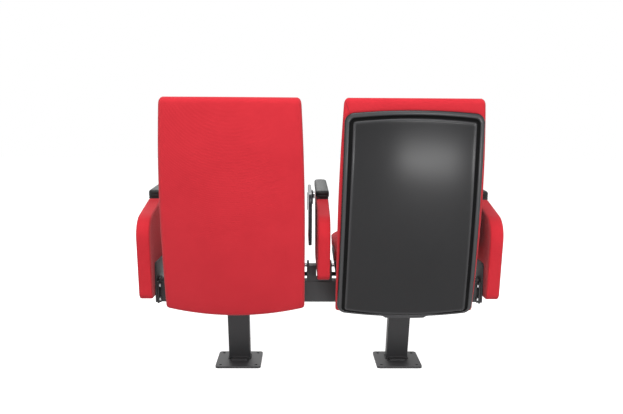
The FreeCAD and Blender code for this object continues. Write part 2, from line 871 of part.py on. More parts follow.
def make_hinge_pins():
    """Pins welded in the bracket uprights, one at each edge of each seat."""
    near = "ear_inner - damper_length"
    length = "(seat_half_width + bracket_gap + bracket_thickness - ear_inner + damper_length)"
    pins = []
    for label, side, outward in seat_edges():
        place = (lower_end(side, outward, near, length), ahead("pivot_ahead"), "pivot_height")
        pins.append(cylinder("hinge_pin_" + label, "pin_radius", length, place, ALONG_X))
    return keep(fuse("hinge_pins", pins))


def make_seat_stops():
    """Rubber-covered stop rollers on the bracket lugs, under the edges of the seats."""
    upright = "seat_half_width + bracket_gap"
    pieces = (("stop_roller_", "stop_radius", upright + " - stop_length", "stop_length"),
              ("stop_stem_", "bolt_radius", upright, "bracket_thickness"))
    stops = []
    for label, side, outward in seat_edges():
        for piece, radius, near, length in pieces:
            place = (lower_end(side, outward, near, length), ahead("stop_ahead"), stop_height)
            stops.append(cylinder(piece + label, radius, length, place, ALONG_X))
    return keep(fuse("seat_stops", stops))


# Seats


def make_seat_frame(name, side):
    """Welded steel frame in the seat: two hinge ears joined by two cross tubes."""
    bore = "pin_radius + pin_play + bush_wall"
    ear = [(ahead("pivot_ahead - ear_boss"), "pivot_height - ear_boss"),
           (ahead("ear_end"), "cross_tube_height - ear_end_half"),
           (ahead("ear_end"), "cross_tube_height + ear_end_half"),
           (ahead("pivot_ahead - ear_boss"), "pivot_height + ear_boss")]
    corners = [Vector(0, size(y), size(z)) for y, z in ear]
    parts = []
    for edge, outward in EDGES:
        plate = prism("ear_%s_%s" % (name, edge), "YZ_Plane",
                      lower_end(side, outward, "ear_inner", "ear_thickness"), "ear_thickness",
                      ear, [(ahead("pivot_ahead"), "pivot_height", bore)])
        round_edges(plate, "ear_radius", runs_along(X, corners[0], corners[3]))
        round_edges(plate, "ear_end_radius", runs_along(X, corners[1], corners[2]))
        parts.append(plate)
    for place in ("cross_tube_rear", "cross_tube_front"):
        parts.append(tube_body("%s_%s" % (place, name), "%d * seat_centre - ear_inner" % side,
                               "2 * ear_inner", ahead(place), "cross_tube_height", "cross_tube_radius",
                               "cross_tube_radius - cross_tube_wall"))
    return keep(fuse("seat_frame_" + name, parts))


def make_seat_bushes(name, side):
    """Flanged plastic bushes in the ears of a seat."""
    bore = "pin_radius + pin_play"
    pieces = (("sleeve", "ear_inner", "ear_thickness", bore + " + bush_wall"),
              ("flange", "ear_inner + ear_thickness", "bush_flange", bore + " + 2 * bush_wall"))
    parts = []
    for edge, outward in EDGES:
        for piece, near, length, radius in pieces:
            low = lower_end(side, outward, near, length)
            parts.append(tube_body("bush_%s_%s_%s" % (piece, name, edge), low, length,
                                   ahead("pivot_ahead"), "pivot_height", radius, bore))
    return keep(fuse("seat_bushes_" + name, parts))


def make_seat_drum(label, side, outward):
    """Drum round the pin's inner end: the damper on one edge, the coiled assist spring on the other."""
    low = lower_end(side, outward, "ear_inner - damper_length", "damper_length")
    return keep(tube_body(label, low, "damper_length", ahead("pivot_ahead"), "pivot_height", "damper_radius",
                          "pin_radius + pin_play"))


def largest_solid(shape):
    """The main solid of a cut shape, without the plugs that a cut leaves in bores."""
    return max(shape.Solids, key=lambda part: part.Volume)


def plan_section(centre, half, rear, front, level):
    """Level outline of a seat: four straight sides and four round corners."""
    back_radius, front_radius = size("seat_rear_corner"), size("seat_front_corner")
    y_rear, y_front = y_ahead(rear), y_ahead(front)
    corners = [(centre - half, y_rear, back_radius, 1, -1), (centre + half, y_rear, back_radius, -1, -1),
               (centre + half, y_front, front_radius, -1, 1), (centre - half, y_front, front_radius, 1, 1)]
    arcs = []
    for x, y, radius, inward_x, inward_y in corners:
        middle = Vector(x + inward_x * radius, y + inward_y * radius, level)
        on_side = Vector(x, middle.y, level)
        on_end = Vector(middle.x, y, level)
        slant = Vector(-inward_x, -inward_y, 0).normalize() * radius
        arcs.append((on_side, middle + slant, on_end))
    rear_left, rear_right, front_right, front_left = arcs
    sides = [Part.Arc(*rear_left), Part.LineSegment(rear_left[2], rear_right[2]),
             Part.Arc(*reversed(rear_right)), Part.LineSegment(rear_right[0], front_right[0]),
             Part.Arc(*front_right), Part.LineSegment(front_right[2], front_left[2]),
             Part.Arc(*reversed(front_left)), Part.LineSegment(front_left[0], rear_left[0])]
    return Part.Wire([side.toShape() for side in sides])


def seat_side_face(inset, x):
    """Side view of the seat above its underside: round under the pivot, then a sloping belly."""
    pivot_y, pivot_z = y_ahead(size("pivot_ahead")), size("pivot_height")
    radius = size("seat_swing_radius") - inset
    front = size("seat_front + tool_margin")
    slope = size(underside_slope)
    low_front = Vector(x, y_ahead(front), pivot_z - radius + (front - size("pivot_ahead")) * slope)
    high = size("seat_top + tool_margin")
    bottom = Vector(x, pivot_y, pivot_z - radius)
    rear = Vector(x, pivot_y + radius, pivot_z)
    diagonal = Vector(x, pivot_y + radius * math.sqrt(0.5), pivot_z - radius * math.sqrt(0.5))
    edges = [Part.Arc(bottom, diagonal, rear).toShape(),
             Part.LineSegment(rear, Vector(x, rear.y, high)).toShape(),
             Part.LineSegment(Vector(x, rear.y, high), Vector(x, low_front.y, high)).toShape(),
             Part.LineSegment(Vector(x, low_front.y, high), low_front).toShape(),
             Part.LineSegment(low_front, bottom).toShape()]
    return Part.Face(Part.Wire(edges))


def make_seat_cushion(name, side, holes):
    """Upholstered cushion: a crowned loft with drawn-in sides, over the frame in its underside."""
    centre = side * size("seat_centre")
    half, rear, front = size("seat_half_width"), size("seat_rear"), size("seat_front")
    taper, low, edge = size("seat_side_taper"), size("seat_low"), size("seat_edge_height")
    sides = [(low, taper), ((low + edge) / 2, taper / 3), (edge, 0)]
    crown = [(edge + size("seat_crown") * math.sin(turn), size("seat_crown_inset") * (1 - math.cos(turn)))
             for turn in map(math.radians, (0, 25, 50, 70, 90))]
    lower, upper = ([plan_section(centre, half - inset, rear + inset, front - inset, level)
                     for level, inset in levels] for levels in (sides, crown))
    block = Part.makeLoft(lower, True, False).fuse(Part.makeLoft(upper, True, True))
    x = centre - half - size("tool_margin")
    width = 2 * (centre - x)
    block = block.common(seat_side_face(size("pan_thickness"), x).extrude(Vector(width, 0, 0)))
    pivot = Vector(x, y_ahead(size("pivot_ahead")), size("pivot_height"))
    pin_hole = Part.makeCylinder(size("pin_radius + pin_clearance"), width, pivot, X)
    block = block.cut([pin_hole] + [piece.Shape for piece in holes])
    return keep(solid("seat_cushion_" + name, largest_solid(block)))


def make_seat_pan(name, side):
    """Moulded tray under the cushion, following the round under the pivot and the sloping belly."""
    centre, margin, reach = side * size("seat_centre"), size("tool_margin"), size("tool_reach")
    half = size("seat_half_width - pan_inset")
    rear, front = size("pivot_ahead - seat_swing_radius") - margin, size("seat_front - pan_inset")
    x, low = centre - half, size("seat_low") - margin
    skin = seat_side_face(0, x).cut(seat_side_face(size("pan_thickness"), x)).extrude(Vector(2 * half, 0, 0))
    outline = Part.Face(plan_section(centre, half, rear, front, low)).extrude(Vector(0, 0, reach))
    below_pivot = Part.makeBox(2 * (half + margin), reach, size("pivot_height") - low,
                               Vector(x - margin, y_ahead(reach - margin), low))
    return keep(solid("seat_pan_" + name, skin.common(outline).common(below_pivot)))


# Backs


def back_rear(height):
    """How far behind the beam's rear face a back's rear edge lies at a height."""
    rise = height - size("back_reach_height")
    lean = math.tan(math.radians(size("back_lean")))
    return size("back_reach") + lean * rise - rise * rise / (2 * size("back_bow_radius"))


def back_half(height):
    """Half the width of a back at a height, drawn in towards the top."""
    lumbar, top = size("back_lumbar_height"), size("back_top")
    above = max(0.0, (height - lumbar) / (top - lumbar))
    return size("back_half_width") - size("back_top_narrowing") * above ** 2


def back_depth(height):
    """Depth of a back from its rear edge to its front edge at a height: deepest at the lumbar."""
    lumbar = size("back_lumbar_height")
    if height > lumbar:
        share = (height - lumbar) / (size("back_top") - lumbar)
        return size("back_lumbar") - (size("back_lumbar") - size("back_top_thickness")) * share ** 2
    share = (lumbar - height) / (lumbar - size("back_front_bottom"))
    return size("back_lumbar") - (size("back_lumbar") - size("back_bottom_thickness")) * share ** 2


def level_section(centre, half, y_back, y_front, height, back_crown=0.0, front_crown=0.0):
    """Level outline with a crowned rear, a crowned front and straight ends."""
    corners = [Vector(centre - half, y_back, height), Vector(centre + half, y_back, height),
               Vector(centre + half, y_front, height), Vector(centre - half, y_front, height)]
    sides = []
    crowns = [back_crown, 0.0, -front_crown, 0.0]
    for number, crown in enumerate(crowns):
        start, end = corners[number], corners[(number + 1) % 4]
        if crown:
            middle = (start + end) * 0.5 + Vector(0, crown, 0)
            sides.append(Part.Arc(start, middle, end).toShape())
        else:
            sides.append(Part.LineSegment(start, end).toShape())
    return Part.Wire(sides)


def back_slab(centre, near, far, heights, inset=0.0, crowns=(0.0, 0.0)):
    """Loft between two depths measured ahead of a back's rear edge."""
    wires = []
    for height in heights:
        rear = size("beam_rear") + back_rear(height)
        half = back_half(height) - inset
        wires.append(level_section(centre, half, rear - near, rear - far, height, *crowns))
    return Part.makeLoft(wires, True, False)


def even_heights(low, high, count):
    return [low + (high - low) * step / (count - 1) for step in range(count)]


def rounded_top(centre, near, far_depth, crowns, rear_draw, front_draw):
    """Stepped-in sections that round the top of a back; the draws are how far each face moves in."""
    radius, top = size("back_edge_radius"), size("back_top")
    wires = []
    for turn in (0, 30, 60, 85):
        angle = math.radians(turn)
        height = top - radius + radius * math.sin(angle)
        share = 1 - math.cos(angle)
        rear = size("beam_rear") + back_rear(height)
        y_back = rear - near - rear_draw * share
        y_front = rear - far_depth(height) + front_draw * share
        half = back_half(height) - size("back_side_draw") * share
        wires.append(level_section(centre, half, y_back, y_front, height, *crowns))
    return Part.makeLoft(wires, True, True)


def bottom_silhouette(centre):
    """Front view of a back's lower end, a shallow arc, as a thick block."""
    half = size("back_half_width + back_bottom_margin")
    low, drop, top = size("back_bottom"), size("back_bottom_drop"), size("back_top + tool_margin")
    reach = size("tool_reach")
    y = -reach / 2
    left, right = Vector(centre - half, y, low), Vector(centre + half, y, low)
    outline = Part.Wire([Part.Arc(left, Vector(centre, y, low - drop), right).toShape(),
                         Part.LineSegment(right, Vector(right.x, y, top)).toShape(),
                         Part.LineSegment(Vector(right.x, y, top), Vector(left.x, y, top)).toShape(),
                         Part.LineSegment(Vector(left.x, y, top), left).toShape()])
    return Part.Face(outline).extrude(Vector(0, reach, 0))


def board_slab(side, far):
    """Slab of the board's outline, from the board's rear face to the given depth."""
    foam, thickness = size("back_rear_foam"), size("board_thickness")
    heights = even_heights(size("back_bottom + board_low_margin"), size("back_top - board_top_margin"), 5)
    return back_slab(side * size("seat_centre"), foam - thickness, far, heights, size("board_inset"))


def make_back_board(name, side):
    """Plywood board in the back, let into the rear panel."""
    return keep(solid("back_board_" + name, board_slab(side, size("back_rear_foam"))))


def make_back_rear(name, side, recess):
    """Upholstered rear panel round the board, set forward by recess where a shell covers it."""
    centre, foam = side * size("seat_centre"), size("back_rear_foam")
    crowns = (size("back_crown"), 0.0)
    bottom = size("back_bottom - back_bottom_drop - tool_margin")
    radius = size("back_edge_radius")
    main = back_slab(centre, recess, foam, even_heights(bottom, size("back_top") - radius, 6), 0.0, crowns)
    cap = rounded_top(centre, recess, lambda height: foam, crowns, radius * (1 - recess / foam), 0.0)
    panel = main.fuse(cap).common(bottom_silhouette(centre)).cut(board_slab(side, 2 * foam))
    return keep(solid("back_rear_" + name, largest_solid(panel)))


def make_back_cushion(name, side, holes):
    """Front cushion with its lumbar swell, crowned across and rounded at both ends."""
    centre, foam = side * size("seat_centre"), size("back_rear_foam")
    crowns = (0.0, size("back_front_crown"))
    low, top = size("back_front_bottom"), size("back_top")
    radius = size("back_edge_radius")
    wires = []
    for turn in (0, 45, 90):
        angle = math.radians(turn)
        height = low + radius * (1 - math.cos(angle))
        share = 1 - math.sin(angle)
        rear = size("beam_rear") + back_rear(height)
        wires.append(level_section(centre, back_half(height) - size("back_side_draw") * share, rear - foam,
                                   rear - back_depth(height) + radius * share, height, *crowns))
    lower = Part.makeLoft(wires, True, True)
    wires = []
    for height in even_heights(low + radius, top - radius, 6):
        rear = size("beam_rear") + back_rear(height)
        wires.append(level_section(centre, back_half(height), rear - foam, rear - back_depth(height), height,
                                   *crowns))
    middle = Part.makeLoft(wires, True, False)
    upper = rounded_top(centre, foam, back_depth, crowns, 0.0, radius)
    cushion = middle.fuse([lower, upper]).cut([piece.Shape for piece in holes])
    return keep(solid("back_cushion_" + name, cushion))


def make_back_supports(name, side):
    """Two posts per back: a foot on the beam's rear face, a stub and a flat bar up the board's front."""
    bar, rear_face, bolt_height = size("support_thickness"), size("beam_rear"), size(support_bolt_height)
    width, foot_width = size("support_width"), size("support_foot_width")
    foot_height = size("support_foot_height")
    foot_low = bolt_height - foot_height / 2

    def bar_front(height):
        return rear_face + back_rear(height) - size("back_rear_foam") - bar

    def strip(points):
        """Extrude a side view, given as y and z pairs, to the posts' width."""
        corners = [Vector(-width / 2, y, z) for y, z in points + points[:1]]
        return Part.Face(Part.makePolygon(corners)).extrude(Vector(width, 0, 0))

    heights = even_heights(foot_low, size("support_top"), 5)
    rear_line = [(bar_front(z) + bar, z) for z in heights]
    front_line = [(bar_front(z), z) for z in reversed(heights)]
    bar_part = strip(rear_line + front_line)
    stub_low, stub_high = (bolt_height + end * size("support_stub_height") / 2 for end in (-1, 1))
    stub = strip([(rear_face + bar, stub_low), (rear_face + bar, stub_high),
                  (bar_front(stub_high) + bar / 2, stub_high), (bar_front(stub_low) + bar / 2, stub_low)])
    foot = Part.makeBox(foot_width, bar, foot_height, Vector(-foot_width / 2, rear_face, foot_low))
    for end in (-1, 1):
        place = Vector(end * (foot_width + width) / 4, rear_face, bolt_height)
        foot = foot.cut(Part.makeCylinder(size("bolt_radius + bolt_clearance"), bar, place, Y))
    post = bar_part.fuse([stub, foot]).removeSplitter()
    middle, offset = side * size("seat_centre"), size("support_offset")
    posts = [post.translated(Vector(middle + end * offset, 0, 0)) for end in (-1, 1)]
    return keep(solid("back_supports_" + name, Part.makeCompound(posts)))


def make_support_bolts():
    """Bolts that hold the back supports on the beam's rear wall."""
    rear = size("beam_rear + support_thickness")
    length = size("support_thickness + beam_wall + bolt_end")
    parts = [hex_bolt(Vector(size(x), rear, size(support_bolt_height)), -Y, length)
             for x in support_bolt_places()]
    return keep(solid("support_bolts", Part.makeCompound(parts)))


def shell_silhouette(centre, inset):
    """Front view of the moulded shell, drawn in by inset, as a thick block."""
    half_low, half_top = size("shell_half_bottom") - inset, size("shell_half_top") - inset
    low, top = size("shell_bottom") + inset, size("shell_top") - inset
    reach = size("tool_reach")
    y = -reach / 2
    low_left, low_right = Vector(centre - half_low, y, low), Vector(centre + half_low, y, low)
    top_left, top_right = Vector(centre - half_top, y, top), Vector(centre + half_top, y, top)
    outline = Part.Wire([
        Part.Arc(low_left, Vector(centre, y, low - size("shell_bottom_drop")), low_right).toShape(),
        Part.LineSegment(low_right, top_right).toShape(),
        Part.Arc(top_right, Vector(centre, y, top + size("shell_top_rise")), top_left).toShape(),
        Part.LineSegment(top_left, low_left).toShape()])
    block = Part.Face(outline).extrude(Vector(0, reach, 0))
    upright = [edge for edge in block.Edges if runs_along(Y)(edge)]
    return block.makeFillet(max(size("shell_corner_radius") - inset, size("shell_least_radius")), upright)


def make_back_shell(name, side):
    """Moulded shell on the rear of a back: rim bead, groove, raised panel and a tab at the lower end."""
    centre, reach, margin = side * size("seat_centre"), size("tool_reach"), size("tool_margin")
    tab_width = size("shell_tab_width")
    tab_low = size("shell_bottom - shell_bottom_drop - shell_tab_drop")
    tab = Part.makeBox(tab_width, reach, size("shell_tab_height"),
                       Vector(centre - tab_width / 2, -reach / 2, tab_low))
    heights = even_heights(tab_low - margin, size("back_top"), 6)
    crown, depth = size("back_crown"), size("shell_depth")
    rim, groove = size("shell_rim"), size("shell_groove")
    groove_depth, wall = size("shell_groove_depth"), size("shell_wall")

    def layer(near, far):
        return back_slab(centre, near, far, heights, -margin, (crown, -crown))

    shell = layer(0, depth).common(shell_silhouette(centre, 0).fuse(tab))
    ring = shell_silhouette(centre, rim).cut(shell_silhouette(centre, rim + groove))
    shell = shell.cut(ring.common(layer(-margin, groove_depth)))
    hollow = layer(groove_depth + wall, depth + margin).common(shell_silhouette(centre, 2 * wall))
    return keep(solid("back_shell_" + name, shell.cut(hollow)))


# Writing tablets


def tablet_face(name):
    """x formula of the arm face that a tablet is hinged on."""
    return "middle_arm_face" if name == "left" else "-arm_inner"


def make_tablet_pivot(name):
    """Boss screwed to the arm with the lifting shaft and its end cap."""
    face, place = tablet_face(name), (ahead("tablet_pivot_ahead"), "tablet_pivot_height")
    plate_end = "tablet_boss_height + tablet_plate + 2 * running_gap"
    cap_start = "%s + %s" % (face, plate_end)
    cap_length = "tablet_gap - tablet_cap_gap - (%s)" % plate_end
    pieces = (("boss", "tablet_boss_radius", face, "tablet_boss_height"),
              ("shaft", "tablet_shaft_radius", face, plate_end),
              ("cap", "tablet_cap_radius", cap_start, cap_length))
    turned = [cylinder("tablet_%s_%s" % (piece, name), radius, length, (start,) + place, ALONG_X)
              for piece, radius, start, length in pieces]
    return keep(fuse("tablet_pivot_" + name, turned))


def knuckle_centre(name):
    """x formula of the folding pin."""
    return "%s + tablet_gap + tablet_thickness / 2" % tablet_face(name)


def make_tablet_bracket(name):
    """Plate that turns on the lifting shaft and carries the folding pin in its barrel."""
    face = tablet_face(name)
    points = rectangle(ahead("tablet_pivot_ahead + tablet_plate_margin"),
                       ahead("knuckle_ahead - knuckle_radius"), "knuckle_low",
                       "tablet_pivot_height + tablet_plate_margin")
    plate_start = "%s + tablet_boss_height + running_gap" % face
    bore = (ahead("tablet_pivot_ahead"), "tablet_pivot_height", "tablet_shaft_radius + pin_play")
    body = prism("tablet_plate_" + name, "YZ_Plane", plate_start, "tablet_plate", points, [bore])
    corners = [Vector(0, size(y), size(z)) for y, z in points]
    round_edges(body, "knuckle_radius", runs_along(X, *corners))
    x, y = knuckle_centre(name), ahead("knuckle_ahead")
    barrel = cylinder("tablet_barrel_" + name, "knuckle_radius", "knuckle_length", (x, y, "knuckle_low"))
    web = doc.addObject("Part::Box", "tablet_web_" + name)
    web.setExpression("Length", expression("%s - (%s + tablet_plate)" % (x, plate_start)))
    web.setExpression("Width", expression("knuckle_radius"))
    web.setExpression("Height", expression("knuckle_length"))
    web.setExpression("Placement.Base.x", expression(plate_start + " + tablet_plate"))
    web.setExpression("Placement.Base.y", expression(y + " - knuckle_radius / 2"))
    web.setExpression("Placement.Base.z", expression("knuckle_low"))
    pin = cylinder("tablet_pin_" + name, "knuckle_pin_radius", "3 * knuckle_length + 2 * running_gap",
                   (x, y, "knuckle_low - knuckle_length - running_gap"))
    return keep(fuse("tablet_bracket_" + name, [body, barrel, web, pin]))


def make_tablet_hinge(name):
    """Strap on the leaf's front edge with two barrels round the folding pin."""
    x, y = knuckle_centre(name), ahead("knuckle_ahead")
    barrels = []
    for place, start in (("low", "knuckle_low - knuckle_length - running_gap"),
                         ("high", "knuckle_low + knuckle_length + running_gap")):
        body = new_body("tablet_barrel_%s_%s" % (place, name))
        sketch = add_sketch(body, "XY_Plane", start)
        draw_circle(sketch, x, y, "knuckle_radius")
        draw_circle(sketch, x, y, "knuckle_pin_radius + pin_play")
        pad(body, sketch, "knuckle_length")
        half = "strap_thickness / 2"
        add_pad(body, "XY_Plane", start, "knuckle_length",
                rectangle("%s - %s" % (x, half), "%s + %s" % (x, half),
                          ahead("knuckle_ahead - knuckle_pin_radius - strap_setback"), ahead("tablet_front")))
        barrels.append(body)
    return keep(fuse("tablet_hinge_" + name, barrels))


def make_tablet_leaf(name):
    """Writing leaf stowed upright beside the arm."""
    near = tablet_face(name) + " + tablet_gap"
    points = rectangle(ahead("tablet_front"), ahead("tablet_rear"), "tablet_low", "tablet_high")
    body = prism("tablet_leaf_" + name, "YZ_Plane", near, "tablet_thickness", points)
    low_front, low_rear, high_rear, high_front = (Vector(0, size(y), size(z)) for y, z in points)
    round_edges(body, "tablet_corner", runs_along(X, low_front, low_rear, high_rear))
    round_edges(body, "tablet_hinge_corner", runs_along(X, high_front))
    faces = size(near), size(near + " + tablet_thickness")
    round_edges(body, "tablet_edge", lies_at(X, *faces))
    return keep(body)


# The whole assembly


make_beam()
make_saddle_bolts()
make_flange_bolts()
make_centre_bracket()
make_bracket_bolts()
make_hinge_pins()
make_seat_stops()
make_support_bolts()
make_arm("left", "arm_inner", "arm_thickness", "arm_bottom")
make_arm("right", "-arm_inner - arm_thickness", "arm_thickness", "arm_bottom")
make_arm("middle", "middle_arm_face - middle_arm_thickness", "middle_arm_thickness", "middle_arm_bottom")
make_armrest("left", "arm_inner + arm_thickness / 2")
make_armrest("right", "-arm_inner - arm_thickness / 2")
make_armrest("middle", "middle_arm_shift")
for name, side in SIDES:
    make_leg(name, side)
    make_foot_plate(name, side)
    make_saddle(name, side)
    make_arm_plate(name, side)
    make_outer_bracket(name, side)
    supports = make_back_supports(name, side)
    make_back_board(name, side)
    make_back_rear(name, side, size("shell_depth") if name == "right" else 0.0)
    make_back_cushion(name, side, [supports])
    seat_frame = make_seat_frame(name, side)
    bushes = make_seat_bushes(name, side)
    damper = make_seat_drum("seat_damper_" + name, side, 1)
    spring_drum = make_seat_drum("seat_spring_drum_" + name, side, -1)
    doc.recompute()
    make_seat_cushion(name, side, [seat_frame, bushes, damper, spring_drum])
    make_seat_pan(name, side)
    make_tablet_pivot(name)
    make_tablet_bracket(name)
    make_tablet_hinge(name)
    make_tablet_leaf(name)
make_back_shell("right", -1)
doc.recompute()

# Check every object and write one file per sub-part

for item in doc.Objects:
    if "Invalid" in item.State or "Error" in item.State:
        raise ValueError("%s did not compute" % item.Label)
for piece in PIECES:
    if piece.Shape.isNull() or not piece.Shape.isValid() or not piece.Shape.Solids:
        raise ValueError("%s has no valid solid" % piece.Label)

os.makedirs("parts", exist_ok=True)
for piece in PIECES:
    piece.Shape.exportStep("parts/%s.step" % piece.Label)
print("%d sub-parts written" % len(PIECES))
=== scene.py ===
import json
import math

import bmesh
import bpy
import numpy as np
from mathutils import Matrix, Vector
from mathutils.bvhtree import BVHTree


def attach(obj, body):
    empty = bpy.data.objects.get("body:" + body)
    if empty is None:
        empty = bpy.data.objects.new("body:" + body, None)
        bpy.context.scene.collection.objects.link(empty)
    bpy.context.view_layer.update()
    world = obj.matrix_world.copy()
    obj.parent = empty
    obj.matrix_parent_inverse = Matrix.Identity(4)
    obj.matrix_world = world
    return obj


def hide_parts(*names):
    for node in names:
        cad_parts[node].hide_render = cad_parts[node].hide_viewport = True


# A two-place auditorium unit seen from behind: red upholstery on a black steel beam with two floor legs.
# Metres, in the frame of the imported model: +Z up, sitters face -Y, the camera stands at +Y.
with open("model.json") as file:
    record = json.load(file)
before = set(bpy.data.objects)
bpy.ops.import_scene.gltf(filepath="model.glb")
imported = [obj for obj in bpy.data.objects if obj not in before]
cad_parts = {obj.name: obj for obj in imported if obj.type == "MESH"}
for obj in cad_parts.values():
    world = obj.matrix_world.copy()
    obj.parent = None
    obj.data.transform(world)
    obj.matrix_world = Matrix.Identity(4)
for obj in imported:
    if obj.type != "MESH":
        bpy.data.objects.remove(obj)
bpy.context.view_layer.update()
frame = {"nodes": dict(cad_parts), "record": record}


# The view. A normal lens stands 2.5 m behind the beam and 0.93 m above the floor. It looks a little down,
# so the foot plates show their tops and the armrests show their rear ends.
frame_width = 623
lens_in_pixels = 690.4
camera_place = (0.0712, 2.5857, 0.9313)
pitch_down = math.radians(7.61)
yaw_aside = math.radians(0.93)
roll = math.radians(0.36)

forward = Vector((-math.sin(yaw_aside) * math.cos(pitch_down), -math.cos(yaw_aside) * math.cos(pitch_down),
                  -math.sin(pitch_down)))
level_right = Vector((-math.cos(yaw_aside), math.sin(yaw_aside), 0))
level_up = level_right.cross(forward)
camera_right = level_right * math.cos(roll) + level_up * math.sin(roll)
camera_up = level_up * math.cos(roll) - level_right * math.sin(roll)
camera_data = bpy.data.cameras.new("rear_view")
camera_data.sensor_width = 36
camera_data.lens = lens_in_pixels * camera_data.sensor_width / frame_width
camera = bpy.data.objects.new("rear_view", camera_data)
camera.matrix_world = Matrix.Translation(camera_place) @ Matrix(
    (camera_right, camera_up, -forward)).transposed().to_4x4()
bpy.context.scene.collection.objects.link(camera)
bpy.context.scene.camera = camera
bpy.context.scene.view_settings.view_transform = "Standard"


# The studio. A pale floor runs into a white surround. A wide soft box hangs above the camera, a weak one
# behind it, and one lights the sitters' side. A low strip near the unit is what the glossy shell mirrors.
def soft_box(name, place, target, size, watts):
    """Rectangular lamp at a place, turned to a target and not seen by the camera."""
    light = bpy.data.lights.new(name, "AREA")
    light.shape = "RECTANGLE"
    light.size, light.size_y = size
    light.energy = watts
    holder = bpy.data.objects.new(name, light)
    aim = Vector(target) - Vector(place)
    holder.matrix_world = Matrix.Translation(place) @ aim.to_track_quat("-Z", "Y").to_matrix().to_4x4()
    holder.visible_camera = False
    bpy.context.scene.collection.objects.link(holder)


soft_box("overhead_box", (0.4, 2.5, 3.8), (0, 0.1, 0.6), (3.0, 2.0), 172)
soft_box("camera_box", (-1.2, 4.4, 2.2), (-0.1, 0.2, 0.6), (2.2, 1.6), 14)
soft_box("sitter_side_box", (0.6, -3.2, 2.8), (0, -0.1, 0.5), (2.6, 1.8), 80)
soft_box("low_strip", (-0.76, 1.9, 0.27), (-0.38, 0.33, 0.8), (0.72, 0.26), 7.5)


def shader_step(tree, kind, inputs, output=0, **settings):
    """Output of a new shader node with these settings, whose inputs are numbers, colours or other outputs."""
    step = tree.nodes.new("ShaderNode" + kind)
    for setting, value in settings.items():
        setattr(step, setting, value)
    for socket, source in inputs.items():
        if isinstance(source, bpy.types.NodeSocket):
            tree.links.new(source, step.inputs[socket])
        else:
            step.inputs[socket].default_value = source
    return step.outputs[output]


def seen_rays(tree):
    """1 for the camera's rays and those that gloss or glass sends on, 0 for others: the largest of three marks."""
    path = tree.nodes.new("ShaderNodeLightPath").outputs
    seen = shader_step(tree, "Math", {0: path["Is Camera Ray"], 1: path["Is Glossy Ray"]}, operation="MAXIMUM")
    return shader_step(tree, "Math", {0: seen, 1: path["Is Transmission Ray"]}, operation="MAXIMUM")


light_on_unit, white_seen = 0.22, 1.0
world = bpy.data.worlds.new("white_surround")
bpy.context.scene.world = world
world.use_nodes = True
sky = world.node_tree
sky.nodes.clear()
ambient, white = (shader_step(sky, "Background", {"Color": (1, 1, 1, 1), "Strength": strength})
                  for strength in (light_on_unit, white_seen))
surround = shader_step(sky, "MixShader", {0: seen_rays(sky), 1: ambient, 2: white})
sky.links.new(surround, sky.nodes.new("ShaderNodeOutputWorld").inputs["Surface"])

floor_half = 12.0
floor_glow = 0.89
floor_mesh = bpy.data.meshes.new("studio_floor")
floor_mesh.from_pydata([(-floor_half, -floor_half, 0), (floor_half, -floor_half, 0),
                        (floor_half, floor_half, 0), (-floor_half, floor_half, 0)], [], [(0, 1, 2, 3)])
floor = bpy.data.objects.new("studio_floor", floor_mesh)
bpy.context.scene.collection.objects.link(floor)
floor_paint = bpy.data.materials.new("studio_floor_white")
floor_paint.use_nodes = True
floor_tree = floor_paint.node_tree
floor_surface = floor_tree.nodes["Principled BSDF"]
floor_surface.inputs["Base Color"].default_value = (0.50, 0.50, 0.50, 1)
floor_surface.inputs["Roughness"].default_value = 0.9
glow = shader_step(floor_tree, "Emission", {"Strength": floor_glow})
seen_glow = shader_step(floor_tree, "MixShader", {0: seen_rays(floor_tree), 2: glow})
floor_look = shader_step(floor_tree, "AddShader", {0: floor_surface.outputs[0], 1: seen_glow})
floor_tree.links.new(floor_look, floor_tree.nodes["Material Output"].inputs["Surface"])
floor_mesh.materials.append(floor_paint)


# Steelwork: beam, legs, foot plates, saddles, brackets and back supports, cut and welded from tube and
# plate and powder coated in a matt charcoal that has a fine orange-peel skin and paler rubbed edges.
nodes = frame["nodes"]
record_slots = {entry["node"]: entry["material_slot"] for entry in frame["record"]["subparts"]}


def shader_group(name, inputs, outputs):
    """Empty shader group with its sockets: (name, type, default) for inputs and (name, type) for outputs."""
    group = bpy.data.node_groups.new(name, "ShaderNodeTree")
    for socket, kind, default in inputs:
        made = group.interface.new_socket(socket, in_out="INPUT", socket_type=kind)
        if default is not None:
            made.default_value = default
    for socket, kind in outputs:
        group.interface.new_socket(socket, in_out="OUTPUT", socket_type=kind)
    entry, leave = group.nodes.new("NodeGroupInput"), group.nodes.new("NodeGroupOutput")
    return group, entry.outputs, leave.inputs


def grain_group():
    """Fine noise grain: a height for the bump, a slow drift for the colour, and roughness + its own drift x
    (drift - 0.5)."""
    group, given, made = shader_group(
        "moulded_grain",
        [("Vector", "NodeSocketVector", None), ("Grain Scale", "NodeSocketFloat", 900.0),
         ("Drift Scale", "NodeSocketFloat", 5.0), ("Roughness", "NodeSocketFloat", 0.5),
         ("Roughness Drift", "NodeSocketFloat", 0.08)],
        [("Height", "NodeSocketFloat"), ("Drift", "NodeSocketFloat"), ("Roughness", "NodeSocketFloat")])
    grain, drift = (shader_step(group, "TexNoise", {"Vector": given["Vector"], "Scale": given[scale],
                                                    "Detail": detail}, "Fac")
                    for scale, detail in (("Grain Scale", 2), ("Drift Scale", 4)))
    centred = shader_step(group, "Math", {0: drift, 1: 0.5}, operation="SUBTRACT")
    spread = shader_step(group, "Math", {0: centred, 1: given["Roughness Drift"], 2: given["Roughness"]},
                         operation="MULTIPLY_ADD")
    group.links.new(grain, made["Height"])
    group.links.new(drift, made["Drift"])
    group.links.new(spread, made["Roughness"])
    return group


